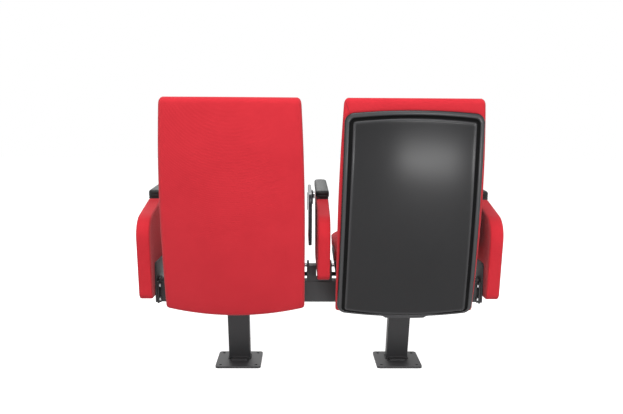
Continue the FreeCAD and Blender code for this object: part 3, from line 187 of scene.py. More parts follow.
def edge_group():
    """Mask that is one on worn convex edges: the bevelled normal departs there from the true normal."""
    group, given, made = shader_group(
        "rubbed_edges", [("Width", "NodeSocketFloat", 0.0015), ("Vector", "NodeSocketVector", None)],
        [("Mask", "NodeSocketFloat"), ("Normal", "NodeSocketVector")])
    bevelled = shader_step(group, "Bevel", {"Radius": given["Width"]}, "Normal", samples=4)
    true_normal = group.nodes.new("ShaderNodeNewGeometry").outputs["Normal"]
    alike = shader_step(group, "VectorMath", {0: bevelled, 1: true_normal}, "Value", operation="DOT_PRODUCT")
    departed = shader_step(group, "MapRange", {"Value": alike, "From Min": 0.995, "From Max": 0.80}, "Result")
    patches = shader_step(group, "TexNoise", {"Vector": given["Vector"], "Scale": 60}, "Fac")
    mask = shader_step(group, "Math", {0: departed, 1: patches}, operation="MULTIPLY")
    group.links.new(mask, made["Mask"])
    group.links.new(bevelled, made["Normal"])
    return group


grain_nodes, edge_nodes = grain_group(), edge_group()
rubbed_share = 0.6


def hard_finish(name, base, worn, roughness, metallic=0.0, grain_scale=900.0, grain_depth=0.00004,
                edge_width=0.0015, gloss=0.5):
    """Painted, plated or moulded surface: grained, mottled 18 percent round its base colour, with softened
    edges that are rubbed towards the worn colour."""
    finish = bpy.data.materials.new(name)
    finish.use_nodes = True
    tree = finish.node_tree
    surface = tree.nodes["Principled BSDF"]
    place = tree.nodes.new("ShaderNodeTexCoord").outputs["Object"]
    grain = shader_step(tree, "Group", {"Vector": place, "Grain Scale": grain_scale, "Roughness": roughness},
                        node_tree=grain_nodes).node.outputs
    edges = shader_step(tree, "Group", {"Vector": place, "Width": edge_width}, node_tree=edge_nodes).node.outputs
    darker, paler = ((*[min(1, channel * share) for channel in base], 1) for share in (0.82, 1.18))
    mottle = shader_step(tree, "Mix", {"Factor": grain["Drift"], "A": darker, "B": paler}, "Result",
                         data_type="RGBA")
    rubbing = shader_step(tree, "Math", {0: edges["Mask"], 1: rubbed_share}, operation="MULTIPLY")
    colour = shader_step(tree, "Mix", {"Factor": rubbing, "A": mottle, "B": (*worn, 1)}, "Result",
                         data_type="RGBA")
    grained = shader_step(tree, "Bump", {"Height": grain["Height"], "Normal": edges["Normal"],
                                         "Distance": grain_depth, "Strength": 1.0}, "Normal")
    tree.links.new(colour, surface.inputs["Base Color"])
    tree.links.new(grain["Roughness"], surface.inputs["Roughness"])
    tree.links.new(grained, surface.inputs["Normal"])
    surface.inputs["Metallic"].default_value = metallic
    surface.inputs["Specular IOR Level"].default_value = gloss
    return finish


def wear_finish(finish, slot, *starts):
    """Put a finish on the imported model's nodes of a material slot, and on those whose names start so."""
    for node, node_slot in record_slots.items():
        if node_slot == slot or node.startswith(starts):
            mesh = nodes[node].data
            mesh.materials.clear()
            mesh.materials.append(finish)


powder_coat = hard_finish("charcoal_powder_coat", (0.038, 0.038, 0.040), (0.10, 0.10, 0.105), 0.52,
                          grain_scale=700.0, grain_depth=0.00006, gloss=0.35)
wear_finish(powder_coat, "powder_black")


# Fasteners and pins: hinge pins, bolts, nuts and the tablets' lifting shafts, turned from steel and zinc plated.
# They are left bright where the spanner and the bushes touch them.
zinc = hard_finish("zinc_plate", (0.42, 0.42, 0.43), (0.62, 0.62, 0.63), 0.34, metallic=1.0,
                   grain_scale=1500.0, grain_depth=0.00001, edge_width=0.0006)
wear_finish(zinc, "steel")


# Small mouldings: bushes, dampers, spring drums, seat pans and armrest bases in black plastic with a fine moulded
# grain, which the tablets' brackets and hinges share, and the rubber of the stop rollers.
moulding = hard_finish("black_moulding", (0.020, 0.020, 0.021), (0.05, 0.05, 0.052), 0.50,
                       grain_scale=1200.0, grain_depth=0.00005, gloss=0.30)
wear_finish(moulding, "plastic", "tablet_bracket", "tablet_hinge")
rubber = hard_finish("stop_rubber", (0.018, 0.018, 0.018), (0.04, 0.04, 0.04), 0.75, grain_depth=0.00005)
wear_finish(rubber, "rubber")


# Plywood boards: plain peeled veneer inside the backs and arms, which the covers are pulled over.
# They are only ever seen at a gap.
plywood = hard_finish("peeled_veneer", (0.50, 0.35, 0.20), (0.60, 0.45, 0.28), 0.6, grain_scale=220.0)
wear_finish(plywood, "plywood")


# Writing leaves: glossy black laminate on a board, with a rounded edge band and faint handling marks.
# Each is carried by the strap of its hinge.
leaf_gloss = hard_finish("leaf_laminate", (0.012, 0.014, 0.020), (0.05, 0.055, 0.065), 0.30,
                         grain_scale=300.0, grain_depth=0.000004, edge_width=0.002, gloss=0.25)
wear_finish(leaf_gloss, "tablet")


# Upholstery cloth: a red woven polyester pulled over foam. Threads about 1.3 mm apart, a soft fuzz that
# lightens it at grazing angles, and a slow drift of tone where the nap lies one way or the other.
thread_pitch = 0.0013
cloth_red = (0.64, 0.027, 0.040)
cloth_dark = (0.59, 0.023, 0.035)


def weave_group():
    """Plain weave on any flat side: the sum of sin(2 pi x place / pitch) along each of the three axes."""
    group, given, made = shader_group(
        "plain_weave", [("Vector", "NodeSocketVector", None), ("Pitch", "NodeSocketFloat", thread_pitch)],
        [("Height", "NodeSocketFloat"), ("Drift", "NodeSocketFloat")])
    axes = shader_step(group, "SeparateXYZ", {0: given["Vector"]}).node.outputs
    ridges = []
    for axis in "XYZ":
        turns = shader_step(group, "Math", {0: axes[axis], 1: given["Pitch"]}, operation="DIVIDE")
        angle = shader_step(group, "Math", {0: turns, 1: 2 * math.pi}, operation="MULTIPLY")
        ridges.append(shader_step(group, "Math", {0: angle}, operation="SINE"))
    two = shader_step(group, "Math", {0: ridges[0], 1: ridges[1]}, operation="ADD")
    three = shader_step(group, "Math", {0: two, 1: ridges[2]}, operation="ADD")
    drift = shader_step(group, "TexNoise", {"Vector": given["Vector"], "Scale": 7, "Detail": 5}, "Fac")
    group.links.new(three, made["Height"])
    group.links.new(drift, made["Drift"])
    return group


cloth = bpy.data.materials.new("red_woven_cloth")
cloth.use_nodes = True
cloth_tree = cloth.node_tree
cloth_surface = cloth_tree.nodes["Principled BSDF"]
cloth_place = cloth_tree.nodes.new("ShaderNodeTexCoord").outputs["Object"]
weave = shader_step(cloth_tree, "Group", {"Vector": cloth_place}, node_tree=weave_group()).node.outputs
nap = shader_step(cloth_tree, "MapRange", {"Value": weave["Drift"], "From Min": 0.25, "From Max": 0.6}, "Result")
cloth_tone = shader_step(cloth_tree, "Mix", {"Factor": nap, "A": (*cloth_dark, 1), "B": (*cloth_red, 1)},
                         "Result", data_type="RGBA")
threads = shader_step(cloth_tree, "Bump", {"Height": weave["Height"], "Distance": 0.00007}, "Normal")
cloth_tree.links.new(cloth_tone, cloth_surface.inputs["Base Color"])
cloth_tree.links.new(threads, cloth_surface.inputs["Normal"])
for socket, value in (("Roughness", 0.92), ("Specular IOR Level", 0.15), ("Sheen Weight", 0.30),
                      ("Sheen Roughness", 0.5), ("Sheen Tint", (1.0, 0.55, 0.58, 1))):
    cloth_surface.inputs[socket].default_value = value
wear_finish(cloth, "fabric")


# Arm panels: a plywood board wrapped in foam and red cloth, with a boxed edge all round and a sewn seam where
# the edge strip meets each side. The outer two are bolted to the beam's end plates, the middle one to its box.
# First the beam's rear face, then the arm's heights, its reach behind and ahead of that face, and its top's rise.
beam_rear = 0.1111
arm_low, arm_shoulder, arm_top = 0.272, 0.562, 0.613
behind_low, behind_shoulder = 0.066, 0.101
ahead_low, ahead_rear_top, ahead_front_top = 0.330, 0.128, 0.425
armrest_rise = math.tan(math.radians(2.4))
arm_corner_radii = (0.025, 0.075, 0.020, 0.026, 0.060)


def rounded_outline(corners, radii):
    """Closed outline of straight sides joined by arcs: the arc at a corner starts radius x tan(half its turn)
    before it and turns about the point that lies radius away from both sides."""
    arc_steps, side_steps = 8, 10
    corners = np.array(corners, float)
    sides = np.roll(corners, -1, axis=0) - corners
    lengths = np.linalg.norm(sides, axis=1)
    along = sides / lengths[:, None]
    arcs, starts, ends = [], [], []
    for number, radius in enumerate(radii):
        arriving, leaving = along[number - 1], along[number]
        turn = math.acos(np.clip(arriving @ leaving, -1, 1))
        back = radius * math.tan(turn / 2)
        first, last = corners[number] - arriving * back, corners[number] + leaving * back
        inward = np.sign(arriving[0] * leaving[1] - arriving[1] * leaving[0])
        middle = first + radius * inward * np.array([-arriving[1], arriving[0]])
        share = np.linspace(0, 1, arc_steps)[:, None]
        chord = (first - middle) * np.sin((1 - share) * turn) + (last - middle) * np.sin(share * turn)
        arcs.append(middle + chord / math.sin(turn))
        starts.append(first)
        ends.append(last)
    outline = []
    for number, arc in enumerate(arcs):
        following = starts[(number + 1) % len(arcs)]
        share = np.linspace(0, 1, side_steps + 2)[1:-1, None]
        outline += [arc, ends[number] + (following - ends[number]) * share]
    return np.concatenate(outline)


def ring_faces(rings, points):
    """Quads between each closed ring and the next."""
    ring, point = np.meshgrid(np.arange(rings - 1), np.arange(points), indexing="ij")
    following = (point + 1) % points
    return np.stack([ring * points + point, ring * points + following,
                     (ring + 1) * points + following, (ring + 1) * points + point], axis=-1).reshape(-1, 4)


def skin(name, rings, finish, body, replaced=(), relief=None):
    """Closed piece from a stack of rings: quads join them, points that meet are merged, faces turn outwards.
    Relief is a value for each point of the rings, kept for the material to read."""
    same_place = 0.000002
    mesh = bpy.data.meshes.new(name)
    rows, columns = rings.shape[:2]
    mesh.from_pydata(rings.reshape(-1, 3).tolist(), [], ring_faces(rows, columns).tolist())
    if relief is not None:
        marks = mesh.attributes.new("relief", "FLOAT", "POINT")
        marks.data.foreach_set("value", relief.ravel())
    shape = bmesh.new()
    shape.from_mesh(mesh)
    bmesh.ops.remove_doubles(shape, verts=shape.verts, dist=same_place)
    bmesh.ops.dissolve_degenerate(shape, edges=shape.edges, dist=same_place / 2)
    bmesh.ops.recalc_face_normals(shape, faces=shape.faces)
    shape.to_mesh(mesh)
    shape.free()
    mesh.shade_smooth()
    mesh.materials.append(finish)
    piece = bpy.data.objects.new(name, mesh)
    bpy.context.scene.collection.objects.link(piece)
    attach(piece, body)
    if replaced:
        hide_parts(*replaced)
    return piece


thread_red = hard_finish("seam_thread", (0.33, 0.012, 0.020), (0.45, 0.03, 0.04), 0.7, grain_scale=2500.0)
stitch_length = 0.0045


def seam(name, path, radius, body, closed=True, finish=thread_red):
    """Sewn seam or weld bead along a path: a thin six-sided cord whose radius swells once per stitch or ripple,
    r = r0 (0.65 + 0.35 |sin|)."""
    path = np.array(path, float)
    following = np.roll(path, -1, axis=0) if closed else path[1:]
    lengths = np.linalg.norm(following - path[:len(following)], axis=1)
    travelled = np.concatenate([[0], np.cumsum(lengths)])
    if closed:
        path = np.vstack([path, path[:1]])
    steps = max(8, int(travelled[-1] / (stitch_length / 4)))
    places = np.linspace(0, travelled[-1], steps, endpoint=not closed)
    line = np.stack([np.interp(places, travelled, path[:, axis]) for axis in range(3)], axis=1)
    if closed:
        tangent = np.roll(line, -1, axis=0) - np.roll(line, 1, axis=0)
    else:
        tangent = np.gradient(line, axis=0)
    tangent /= np.linalg.norm(tangent, axis=1)[:, None]
    slanting = (0.31, 0.52, 0.79)
    aside = np.cross(tangent, slanting)
    aside /= np.linalg.norm(aside, axis=1)[:, None]
    upward = np.cross(tangent, aside)
    swell = radius * (0.65 + 0.35 * np.abs(np.sin(math.pi * places / stitch_length)))
    turn = np.linspace(0, 2 * math.pi, 6, endpoint=False)
    around = aside[:, None] * np.cos(turn)[None, :, None] + upward[:, None] * np.sin(turn)[None, :, None]
    rings = line[:, None] + around * swell[:, None, None]
    if closed:
        rings = np.concatenate([rings, rings[:1]])
    else:
        ends = [np.repeat(line[index][None, None], len(turn), axis=1) for index in (0, -1)]
        rings = np.concatenate([ends[0], rings, ends[1]])
    return skin(name, rings, finish, body)


def arm_panel(name, face, thickness, bottom):
    """Side panel over an outline in the YZ plane: the outline is drawn in by r (1 - cos t) as the ring moves out
    by r sin t, and the side faces swell by 2.2 mm towards their middle. A seam runs round each rounded edge."""
    rear_slope = (behind_shoulder - behind_low) / (arm_shoulder - arm_low)
    front_slope = (ahead_front_top - ahead_low) / (arm_top - arm_low)
    rear_low = behind_low + (bottom - arm_low) * rear_slope
    front_low = ahead_low + (bottom - arm_low) * front_slope
    front_top = arm_top + (ahead_front_top - ahead_rear_top) * armrest_rise
    corners = [(beam_rear + rear_low, bottom), (beam_rear + behind_shoulder, arm_shoulder),
               (beam_rear - ahead_rear_top, arm_top), (beam_rear - ahead_front_top, front_top),
               (beam_rear - front_low, bottom)]
    outline = rounded_outline(corners, arm_corner_radii)
    middle = (outline.min(axis=0) + outline.max(axis=0)) / 2
    outward = np.roll(outline, -1, axis=0) - np.roll(outline, 1, axis=0)
    outward = np.stack([outward[:, 1], -outward[:, 0]], axis=1)
    outward /= np.linalg.norm(outward, axis=1)[:, None]
    outward *= np.sign(np.sum(outward * (outline - middle), axis=1))[:, None]
    edge, swell, half = 0.007, 0.0022, thickness / 2
    angles = np.radians([0, 18, 36, 54, 72])
    drawn_in = edge * (1 - np.cos(angles))
    out = half - swell - edge + edge * np.sin(angles)
    rings = [(x, outline - outward * inset) for x, inset in zip(out, drawn_in)]
    inner = outline - outward * edge
    for share in 1 - np.linspace(0, 1, 14)[1:] ** 1.3:
        rings.append((half - swell * share ** 2, middle + (inner - middle) * share))
    one_side = [np.column_stack([np.full(len(outline), x), ring]) for x, ring in rings]
    other = [ring * (-1, 1, 1) for ring in reversed(one_side)]
    stack = np.array(other + one_side) + (face + half, 0, 0)
    panel = skin("arm_panel_" + name, stack, cloth, "stand", ("arm_cover_" + name,))
    seam_inset, seam_depth = edge * 0.42, edge * 0.30
    for number, side in enumerate((-1, 1)):
        x = np.full(len(outline), face + half + side * (half - swell - seam_depth))
        path = np.column_stack([x, outline - outward * seam_inset])
        seam("arm_seam_%s_%d" % (name, number), path, 0.0009, "stand")


arm_panel("left", 0.596, 0.052, arm_low)
arm_panel("right", -0.648, 0.052, arm_low)
arm_panel("middle", -0.038, 0.050, 0.345)


# Weld beads: the leg tubes are run round on their foot plates, over the heel block behind them, and the beam
# is run round inside its end flanges. The beads are coated with the steel, so they share its finish.
seat_pitch = 0.6
seat_centre = seat_pitch / 2
leg_ahead, plate_top, heel_top = 0.0856, 0.0095, 0.0155
flange_inside, beam_middle_ahead, beam_middle_height = 0.5828, 0.025, 0.287


def loop_template(long_steps=30, short_steps=3, arc_steps=6):
    """Unit rounded rectangle, from the middle of its left end over its rear side: for each point the shares of
    its corner's centre across and along, and the direction of its arc."""
    runs = [(-1, -1, 0, 1, 180, 180, short_steps), (-1, -1, 1, 1, 180, 90, arc_steps),
            (-1, 1, 1, 1, 90, 90, long_steps), (1, 1, 1, 1, 90, 0, arc_steps),
            (1, 1, 1, -1, 0, 0, 2 * short_steps), (1, 1, -1, -1, 0, -90, arc_steps),
            (1, -1, -1, -1, -90, -90, long_steps), (-1, -1, -1, -1, -90, -180, arc_steps),
            (-1, -1, -1, 0, -180, -180, short_steps)]
    across, along, angle = (np.concatenate([np.linspace(run[start], run[start + 1], run[6], endpoint=False)
                                            for run in runs]) for start in (0, 2, 4))
    angle = np.radians(angle)
    return across, along, np.cos(angle), np.sin(angle)


def rounded_box_line(half_a, half_b, radius):
    """Closed line round a box of the two half sizes: corner centre plus radius x (cos t, sin t)."""
    across, along, arc_a, arc_b = loop_template(14, 7, 5)
    return across * (half_a - radius) + arc_a * radius, along * (half_b - radius) + arc_b * radius


for side, outward in (("left", 1), ("right", -1)):
    x, y = rounded_box_line(0.0415, 0.0240, 0.004)
    over_heel = (y > 0.02) & (np.abs(x) < 0.033)
    line = np.column_stack([outward * seat_centre + x, beam_rear - leg_ahead + y,
                            np.where(over_heel, heel_top, plate_top)])
    seam("leg_weld_" + side, line, 0.0030, "stand", finish=powder_coat)
for side, outward in (("left", 1), ("right", -1)):
    y, z = rounded_box_line(0.0258, 0.0408, 0.006)
    line = np.column_stack([np.full(len(y), outward * flange_inside), beam_rear - beam_middle_ahead + y,
                            beam_middle_height + z])
    seam("flange_weld_" + side, line, 0.0026, "stand", finish=powder_coat)


# Rear panels of the backs: foam on a plywood board, pulled over with red cloth and stapled to the board's front.
# The photo-left one is bare cloth; the other stands back by the depth of the moulded shell that covers it, and
# a mitred seam shows at its upper corner. Depths are ahead of the back's rear edge.
back_top, lumbar_height, cushion_low = 0.986, 0.5, 0.336
back_foot, back_reach, back_lean, back_bow = 0.284, 0.105, math.tan(math.radians(16.2)), 3.180
back_crown, panel_depth, drop_half = 0.016, 0.030, 0.265


def back_line(height):
    """Rear edge of a back: reach + lean x rise - rise squared over twice the bow radius, behind the beam."""
    rise = height - back_foot
    return beam_rear + back_reach + back_lean * rise - rise ** 2 / (2 * back_bow)


def above_lumbar(height):
    """0 up to the lumbar height, and from there the share of the way to the top of the back."""
    return np.clip((height - lumbar_height) / (back_top - lumbar_height), 0, None)


def back_half(height):
    """Half the width of a back: 245 mm, less 15 mm x the share above the lumbar squared."""
    return 0.245 - 0.015 * above_lumbar(height) ** 2


def back_depth(height):
    """Depth of a back: 114 mm at the lumbar, less a square law of the distance from it up and down."""
    below = np.clip((lumbar_height - height) / (lumbar_height - cushion_low), 0, None)
    return 0.114 - 0.042 * above_lumbar(height) ** 2 - 0.028 * below ** 2


def pinch(ring):
    """Fold a ring flat onto the line midway between each point and the point mirrored through its two ends."""
    return (ring + np.roll(ring[::-1], 1, axis=0)) / 2


def back_pad(centre, near, far, low, low_radius, draws, crowns, corners, drop=0.0, shy=0.0):
    """Rings of an upholstered pad on a back, stacked in height. A ring is a rounded rectangle between the depths
    near and far, bowed by crown x (1 - (x / half) squared) on its rear and front. At both ends the rings step in
    by draw x (1 - cos t), for sides, rear and front, while they rise by radius x sin t, and the lower end hangs by
    drop x (1 - (x / half) squared). Shy is how much smaller the pad is all round, to swell later."""
    top, top_radius, thinnest = back_top - shy, 0.020, 0.004
    turns_low, turns_high = np.radians([-88, -68, -46, -23]), np.radians([0, 18, 36, 54, 72, 86])
    heights = np.concatenate([low + shy + low_radius * (1 + np.sin(turns_low)),
                              np.linspace(low + shy + low_radius, top - top_radius, 34)[:-1],
                              top - top_radius + top_radius * np.sin(turns_high)])[:, None]
    share = np.concatenate([1 - np.cos(turns_low), np.zeros(33), 1 - np.cos(turns_high)])[:, None]
    at_low = np.arange(len(heights))[:, None] < len(turns_low)
    side_draw, rear_draw, front_draw = (np.where(at_low, low_draw, high_draw) * share
                                        for low_draw, high_draw in draws)
    across, along, arc_x, arc_y = (value[None] for value in loop_template())
    half = back_half(heights) - side_draw - shy
    start = near + shy + rear_draw
    deep = np.maximum(far(heights) - shy - front_draw - start, thinnest)
    rear_side = (along > 0) | ((along == 0) & (arc_y >= 0))
    radius = np.minimum(np.where(rear_side, *corners), 0.46 * deep)
    x = across * (half - radius) + arc_x * radius
    back = deep / 2 + along * (deep / 2 - radius) + arc_y * radius
    bow = 1 - (x / half) ** 2
    z = heights - drop * (1 - (x / drop_half) ** 2) * (top - heights) / (top - low)
    rearward = np.clip(back / deep, 0, 1)
    y = back_line(z) - start - deep + back + bow * (crowns[0] * rearward - crowns[1] * (1 - rearward))
    rings = np.stack([x + centre, y, z + 0 * x], axis=-1)
    first, last = rings[0], rings[-1]
    return np.concatenate([pinch(first)[None], (first + pinch(first))[None] / 2, rings,
                           (last + pinch(last))[None] / 2 + (0, 0, 0.0006), pinch(last)[None] + (0, 0, 0.0009)])


def lay_on(piece, path):
    """Move each point of a path to the nearest place on a finished piece."""
    surface = BVHTree.FromObject(piece, bpy.context.evaluated_depsgraph_get())
    return np.array([surface.find_nearest(Vector(place))[0] for place in path])


left_panel = skin("back_panel_left", back_pad(
    seat_centre, 0.0, lambda height: panel_depth, 0.256, 0.010, ((0.006, 0.012), (0.009, 0.018), (0.004, 0.003)),
    (back_crown, 0.0), (0.013, 0.005), drop=0.031), cloth, "stand", ("back_rear_left",))
right_panel = skin("back_panel_right", back_pad(
    -seat_centre, 0.014, lambda height: panel_depth, 0.241, 0.010, ((0.006, 0.012), (0.004, 0.009), (0.003, 0.003)),
    (back_crown, 0.0), (0.008, 0.005), drop=0.016), cloth, "stand", ("back_rear_right",))
mitre_x, mitre_z = np.linspace((-0.0715, 0.9795), (-0.0900, 0.9350), 24).T
mitre = lay_on(right_panel, np.column_stack([mitre_x, back_line(mitre_z) - 0.013, mitre_z]))
seam("back_mitre_right", mitre, 0.0011, "stand", closed=False)


# Back cushions: thick foam with a lumbar swell in a sewn red cover, buttoned to the board from behind. The cover
# is swollen by air pressure in a cloth simulation, so it crowns between its seams as real upholstery does.
def coordinates(mesh):
    """All the points of a mesh as one array."""
    points = np.empty(len(mesh.vertices) * 3)
    mesh.vertices.foreach_get("co", points)
    return points.reshape(-1, 3)


def plump(piece, most, held):
    """Swell a closed cushion: remesh it evenly at 6 mm, let air push its cloth for twenty frames, and move each
    point by most x tanh(travel / most) x held(start), where held runs from 0 on what the cushion lies on to 1."""
    even = piece.modifiers.new("even", "REMESH")
    even.mode = "VOXEL"
    even.voxel_size = 0.006
    depsgraph = bpy.context.evaluated_depsgraph_get()
    mesh = bpy.data.meshes.new_from_object(piece.evaluated_get(depsgraph))
    mesh.name = piece.name
    piece.modifiers.clear()
    piece.data = mesh
    start = coordinates(mesh)
    blown = piece.modifiers.new("blown", "CLOTH")
    blown.settings.use_pressure = True
    blown.settings.uniform_pressure_force = 4.0
    blown.settings.effector_weights.gravity = 0
    blown.settings.quality = 4
    blown.point_cache.frame_start, blown.point_cache.frame_end = 1, 20
    for moment in range(1, 21):
        bpy.context.scene.frame_set(moment)
    depsgraph = bpy.context.evaluated_depsgraph_get()
    travel = coordinates(piece.evaluated_get(depsgraph).to_mesh()) - start
    piece.modifiers.clear()
    bpy.context.scene.frame_set(1)
    length = np.maximum(np.linalg.norm(travel, axis=1), 1e-9)[:, None]
    points = start + travel / length * most * np.tanh(length / most) * held(start)[:, None]
    mesh.vertices.foreach_set("co", points.ravel())
    mesh.update()
    mesh.shade_smooth()
    smooth = piece.modifiers.new("smooth", "SUBSURF")
    smooth.levels = smooth.render_levels = 1


def second_seat(piece, name, body, replaced):
    """Copy of a finished piece on the other seat, one seat pitch along -X."""
    mesh = piece.data.copy()
    mesh.transform(Matrix.Translation((-seat_pitch, 0, 0)))
    twin = bpy.data.objects.new(name, mesh)
    bpy.context.scene.collection.objects.link(twin)
    for modifier in piece.modifiers:
        smooth = twin.modifiers.new(modifier.name, modifier.type)
        smooth.levels = smooth.render_levels = modifier.levels
    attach(twin, body)
    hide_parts(replaced)
    return twin


def off_the_board(points):
    """0 on the cushion's rear face, rising to 1 within 25 mm in front of it."""
    ahead = back_line(points[:, 2]) - panel_depth - points[:, 1]
    return np.clip(ahead / 0.025, 0, 1)


front_cushion = skin("back_pad_left", back_pad(
    seat_centre, panel_depth, back_depth, cushion_low, 0.020, ((0.012, 0.012), (0.002, 0.002), (0.020, 0.020)),
    (0.0, 0.010), (0.004, 0.024), shy=0.003), cloth, "stand", ("back_cushion_left",))
plump(front_cushion, 0.009, off_the_board)
second_seat(front_cushion, "back_pad_right", "stand", "back_cushion_right")


# Moulded shell on the photo-right back: one satin black polypropylene moulding, screwed on over the rear panel.
# It has a rolled rim, a groove inside it, a raised panel with a fine edge bead, and a tab at its lower end.
# Its material paints shade into the groove, darkening and dulling it, and paints a highlight on the rim's crest and
# the bead by paling them, by the relief of each point.
shell_low, shell_top, shell_half = 0.236, 0.936, 0.240
narrowing, narrow_from = 0.012, 0.248
# The first colour is painted shade for the groove; the second is a painted highlight for the rim's crest and the
# bead.
painted_groove_shade, painted_crest_highlight = (0.0012, 0.0012, 0.0013), (0.055, 0.055, 0.058)


def smooth_step(value, low, high):
    """3 s squared - 2 s cubed of the share s between low and high."""
    share = np.clip((value - low) / (high - low), 0, 1)
    return share * share * (3 - 2 * share)


def shell_rings(centre):
    """Concentric rings of the shell, from the middle of its hollow over the rim to the middle of its rear. Each
    follows the outline drawn in by its inset: a rounded rectangle between two arcs, 228 to 240 mm half wide. Its
    depth ahead of the back's rear edge is the moulding's section, pairs of inset and depth in mm. Near the lower
    edge the groove is 4.5 mm shallower, and it is filled at the middle. Relief is 0 in the groove, 1 on the rim's
    crest and the bead, and 0.5 elsewhere."""
    hollow = [(219, 8), (170, 8), (110, 8), (50, 8), (40, 8), (35, 11.4), (14, 11.4), (10, 8.4), (8.6, 8.4),
              (8, 8.8), (7.6, 13.4), (7, 14)]
    rim = [(0.7, 14), (0, 13.3), (0, 6), (0.5, 3.6), (1.8, 1.6), (3.8, 0.5), (6.5, 0), (10, 0), (12.6, 0.5),
           (14.6, 1.5), (16, 2.9)]
    groove = [(16.8, 5.5), (17.6, 7.4), (19, 8.2), (23.5, 8.2), (25.2, 7.4), (26.2, 5.5), (26.9, 2.4)]
    panel = [(27.8, 0.6), (29.2, 0.15), (31, 0.1), (32.6, 0.45), (34.2, 1.0), (37, 1.15), (45, 1.1), (65, 1.0),
             (95, 0.8), (130, 0.6), (165, 0.5), (195, 0.45), (219, 0.45)]
    inset, depth = (np.array(column)[:, None] / 1000 for column in zip(*(hollow + rim + groove + panel)))
    across, along, arc_x, arc_z = (value[None] for value in loop_template(44, 30, 10))
    low = shell_low + np.interp(inset, (0, 0.031, 0.219), (0, 0.012, 0.219))
    top = shell_top - inset
    radius = np.clip(0.028 - inset * 0.75, 0.004, None)
    middle, reach = (low + top) / 2, (top - low) / 2
    z = middle + along * (reach - radius) + arc_z * radius
    half = shell_half - inset - narrowing * (z - narrow_from) / (shell_top - narrow_from)
    x = across * (half - radius) + arc_x * radius
    bow, lift = 1 - (x / half) ** 2, (z - middle) / reach
    z = z + bow * np.where(lift > 0, 0.012 * lift, 0.013 * lift)
    tab = (1 - smooth_step(np.abs(x), 0.068, 0.080)) * (1 - smooth_step(inset, 0.004, 0.015))
    z = z - 0.007 * tab * smooth_step(-lift, 0.8, 0.97)
    in_groove = smooth_step(inset, 0.011, 0.016) * (1 - smooth_step(inset, 0.0262, 0.0285))
    outside = np.arange(len(inset))[:, None] >= len(hollow)
    foot = 1 - smooth_step(z, 0.275, 0.345)
    filled = outside * in_groove * foot * (1 - smooth_step(np.abs(x), 0.080, 0.150))
    depth = depth - outside * in_groove * foot * 0.0045
    depth = depth + filled * (0.0009 - depth)
    y = back_line(z) + back_crown * (1 - (x / back_half(z)) ** 2) - depth
    rings = np.stack([x + centre, y, z], axis=-1)
    ends = rings[[0, -1]].copy()
    ends[:, :, 0] = centre
    marks = np.interp(inset, (0.002, 0.005, 0.012, 0.0160, 0.0172, 0.0258, 0.0268, 0.0285, 0.031, 0.036),
                      (0.5, 1.0, 1.0, 0.5, 0.0, 0.0, 0.4, 1.0, 0.8, 0.5))
    relief = (marks + filled * (0.5 - marks)) * outside
    return np.concatenate([ends[:1], rings, ends[1:]]), np.concatenate([relief[:1], relief, relief[-1:]])


shell_finish = hard_finish("shell_moulding", (0.010, 0.010, 0.011), (0.04, 0.04, 0.042), 0.24,
                           grain_scale=1100.0, grain_depth=0.000008, edge_width=0.0025, gloss=0.26)
wear_finish(shell_finish, "shell")
shell_tree = shell_finish.node_tree
shell_colour, shell_roughness = (shell_tree.nodes["Principled BSDF"].inputs[name]
                                 for name in ("Base Color", "Roughness"))
shell_relief = shader_step(shell_tree, "Attribute", {}, "Fac", attribute_name="relief")
in_groove, on_crest = (shader_step(shell_tree, "MapRange", {"Value": shell_relief, "From Min": 0.5,
                                                            "From Max": level}, "Result") for level in (0.0, 1.0))
# Painted shade and painted highlight: the groove is mixed towards near-black, and the rim's crest and the bead
# towards pale grey.
for share, tone in ((in_groove, painted_groove_shade), (on_crest, painted_crest_highlight)):
    toned = shader_step(shell_tree, "Mix", {"Factor": share, "A": shell_colour.links[0].from_socket,
                                            "B": (*tone, 1)}, "Result", data_type="RGBA")
    shell_tree.links.new(toned, shell_colour)
dulled = shader_step(shell_tree, "Math", {0: in_groove, 1: 0.7, 2: shell_roughness.links[0].from_socket},
                     operation="MULTIPLY_ADD", use_clamp=True)
shell_tree.links.new(dulled, shell_roughness)
shell_stack, shell_marks = shell_rings(-seat_centre)
skin("back_shell", shell_stack, shell_finish, "stand", ("back_shell_right",), shell_marks)


# Seat cushions: a block of moulded foam over the frame in a sewn cover, with a crowned top panel, a boxed side
# strip and a seam between them. The cover is swollen in the same way; the plastic pan closes the underside.
# Sizes in plan are ahead of the beam's rear face; the belly is the underside, which rounds the hinge.
seat_half, seat_rear, seat_front = 0.252, 0.020, 0.462
seat_edge, seat_crown = 0.427, 0.020
hinge_ahead, hinge_height, hinge_arc = 0.060, 0.374, 0.036
belly_height, belly_slope, seat_shy = 0.338, 0.102, 0.004
seat_corner_rear, seat_corner_front = 0.024, 0.048


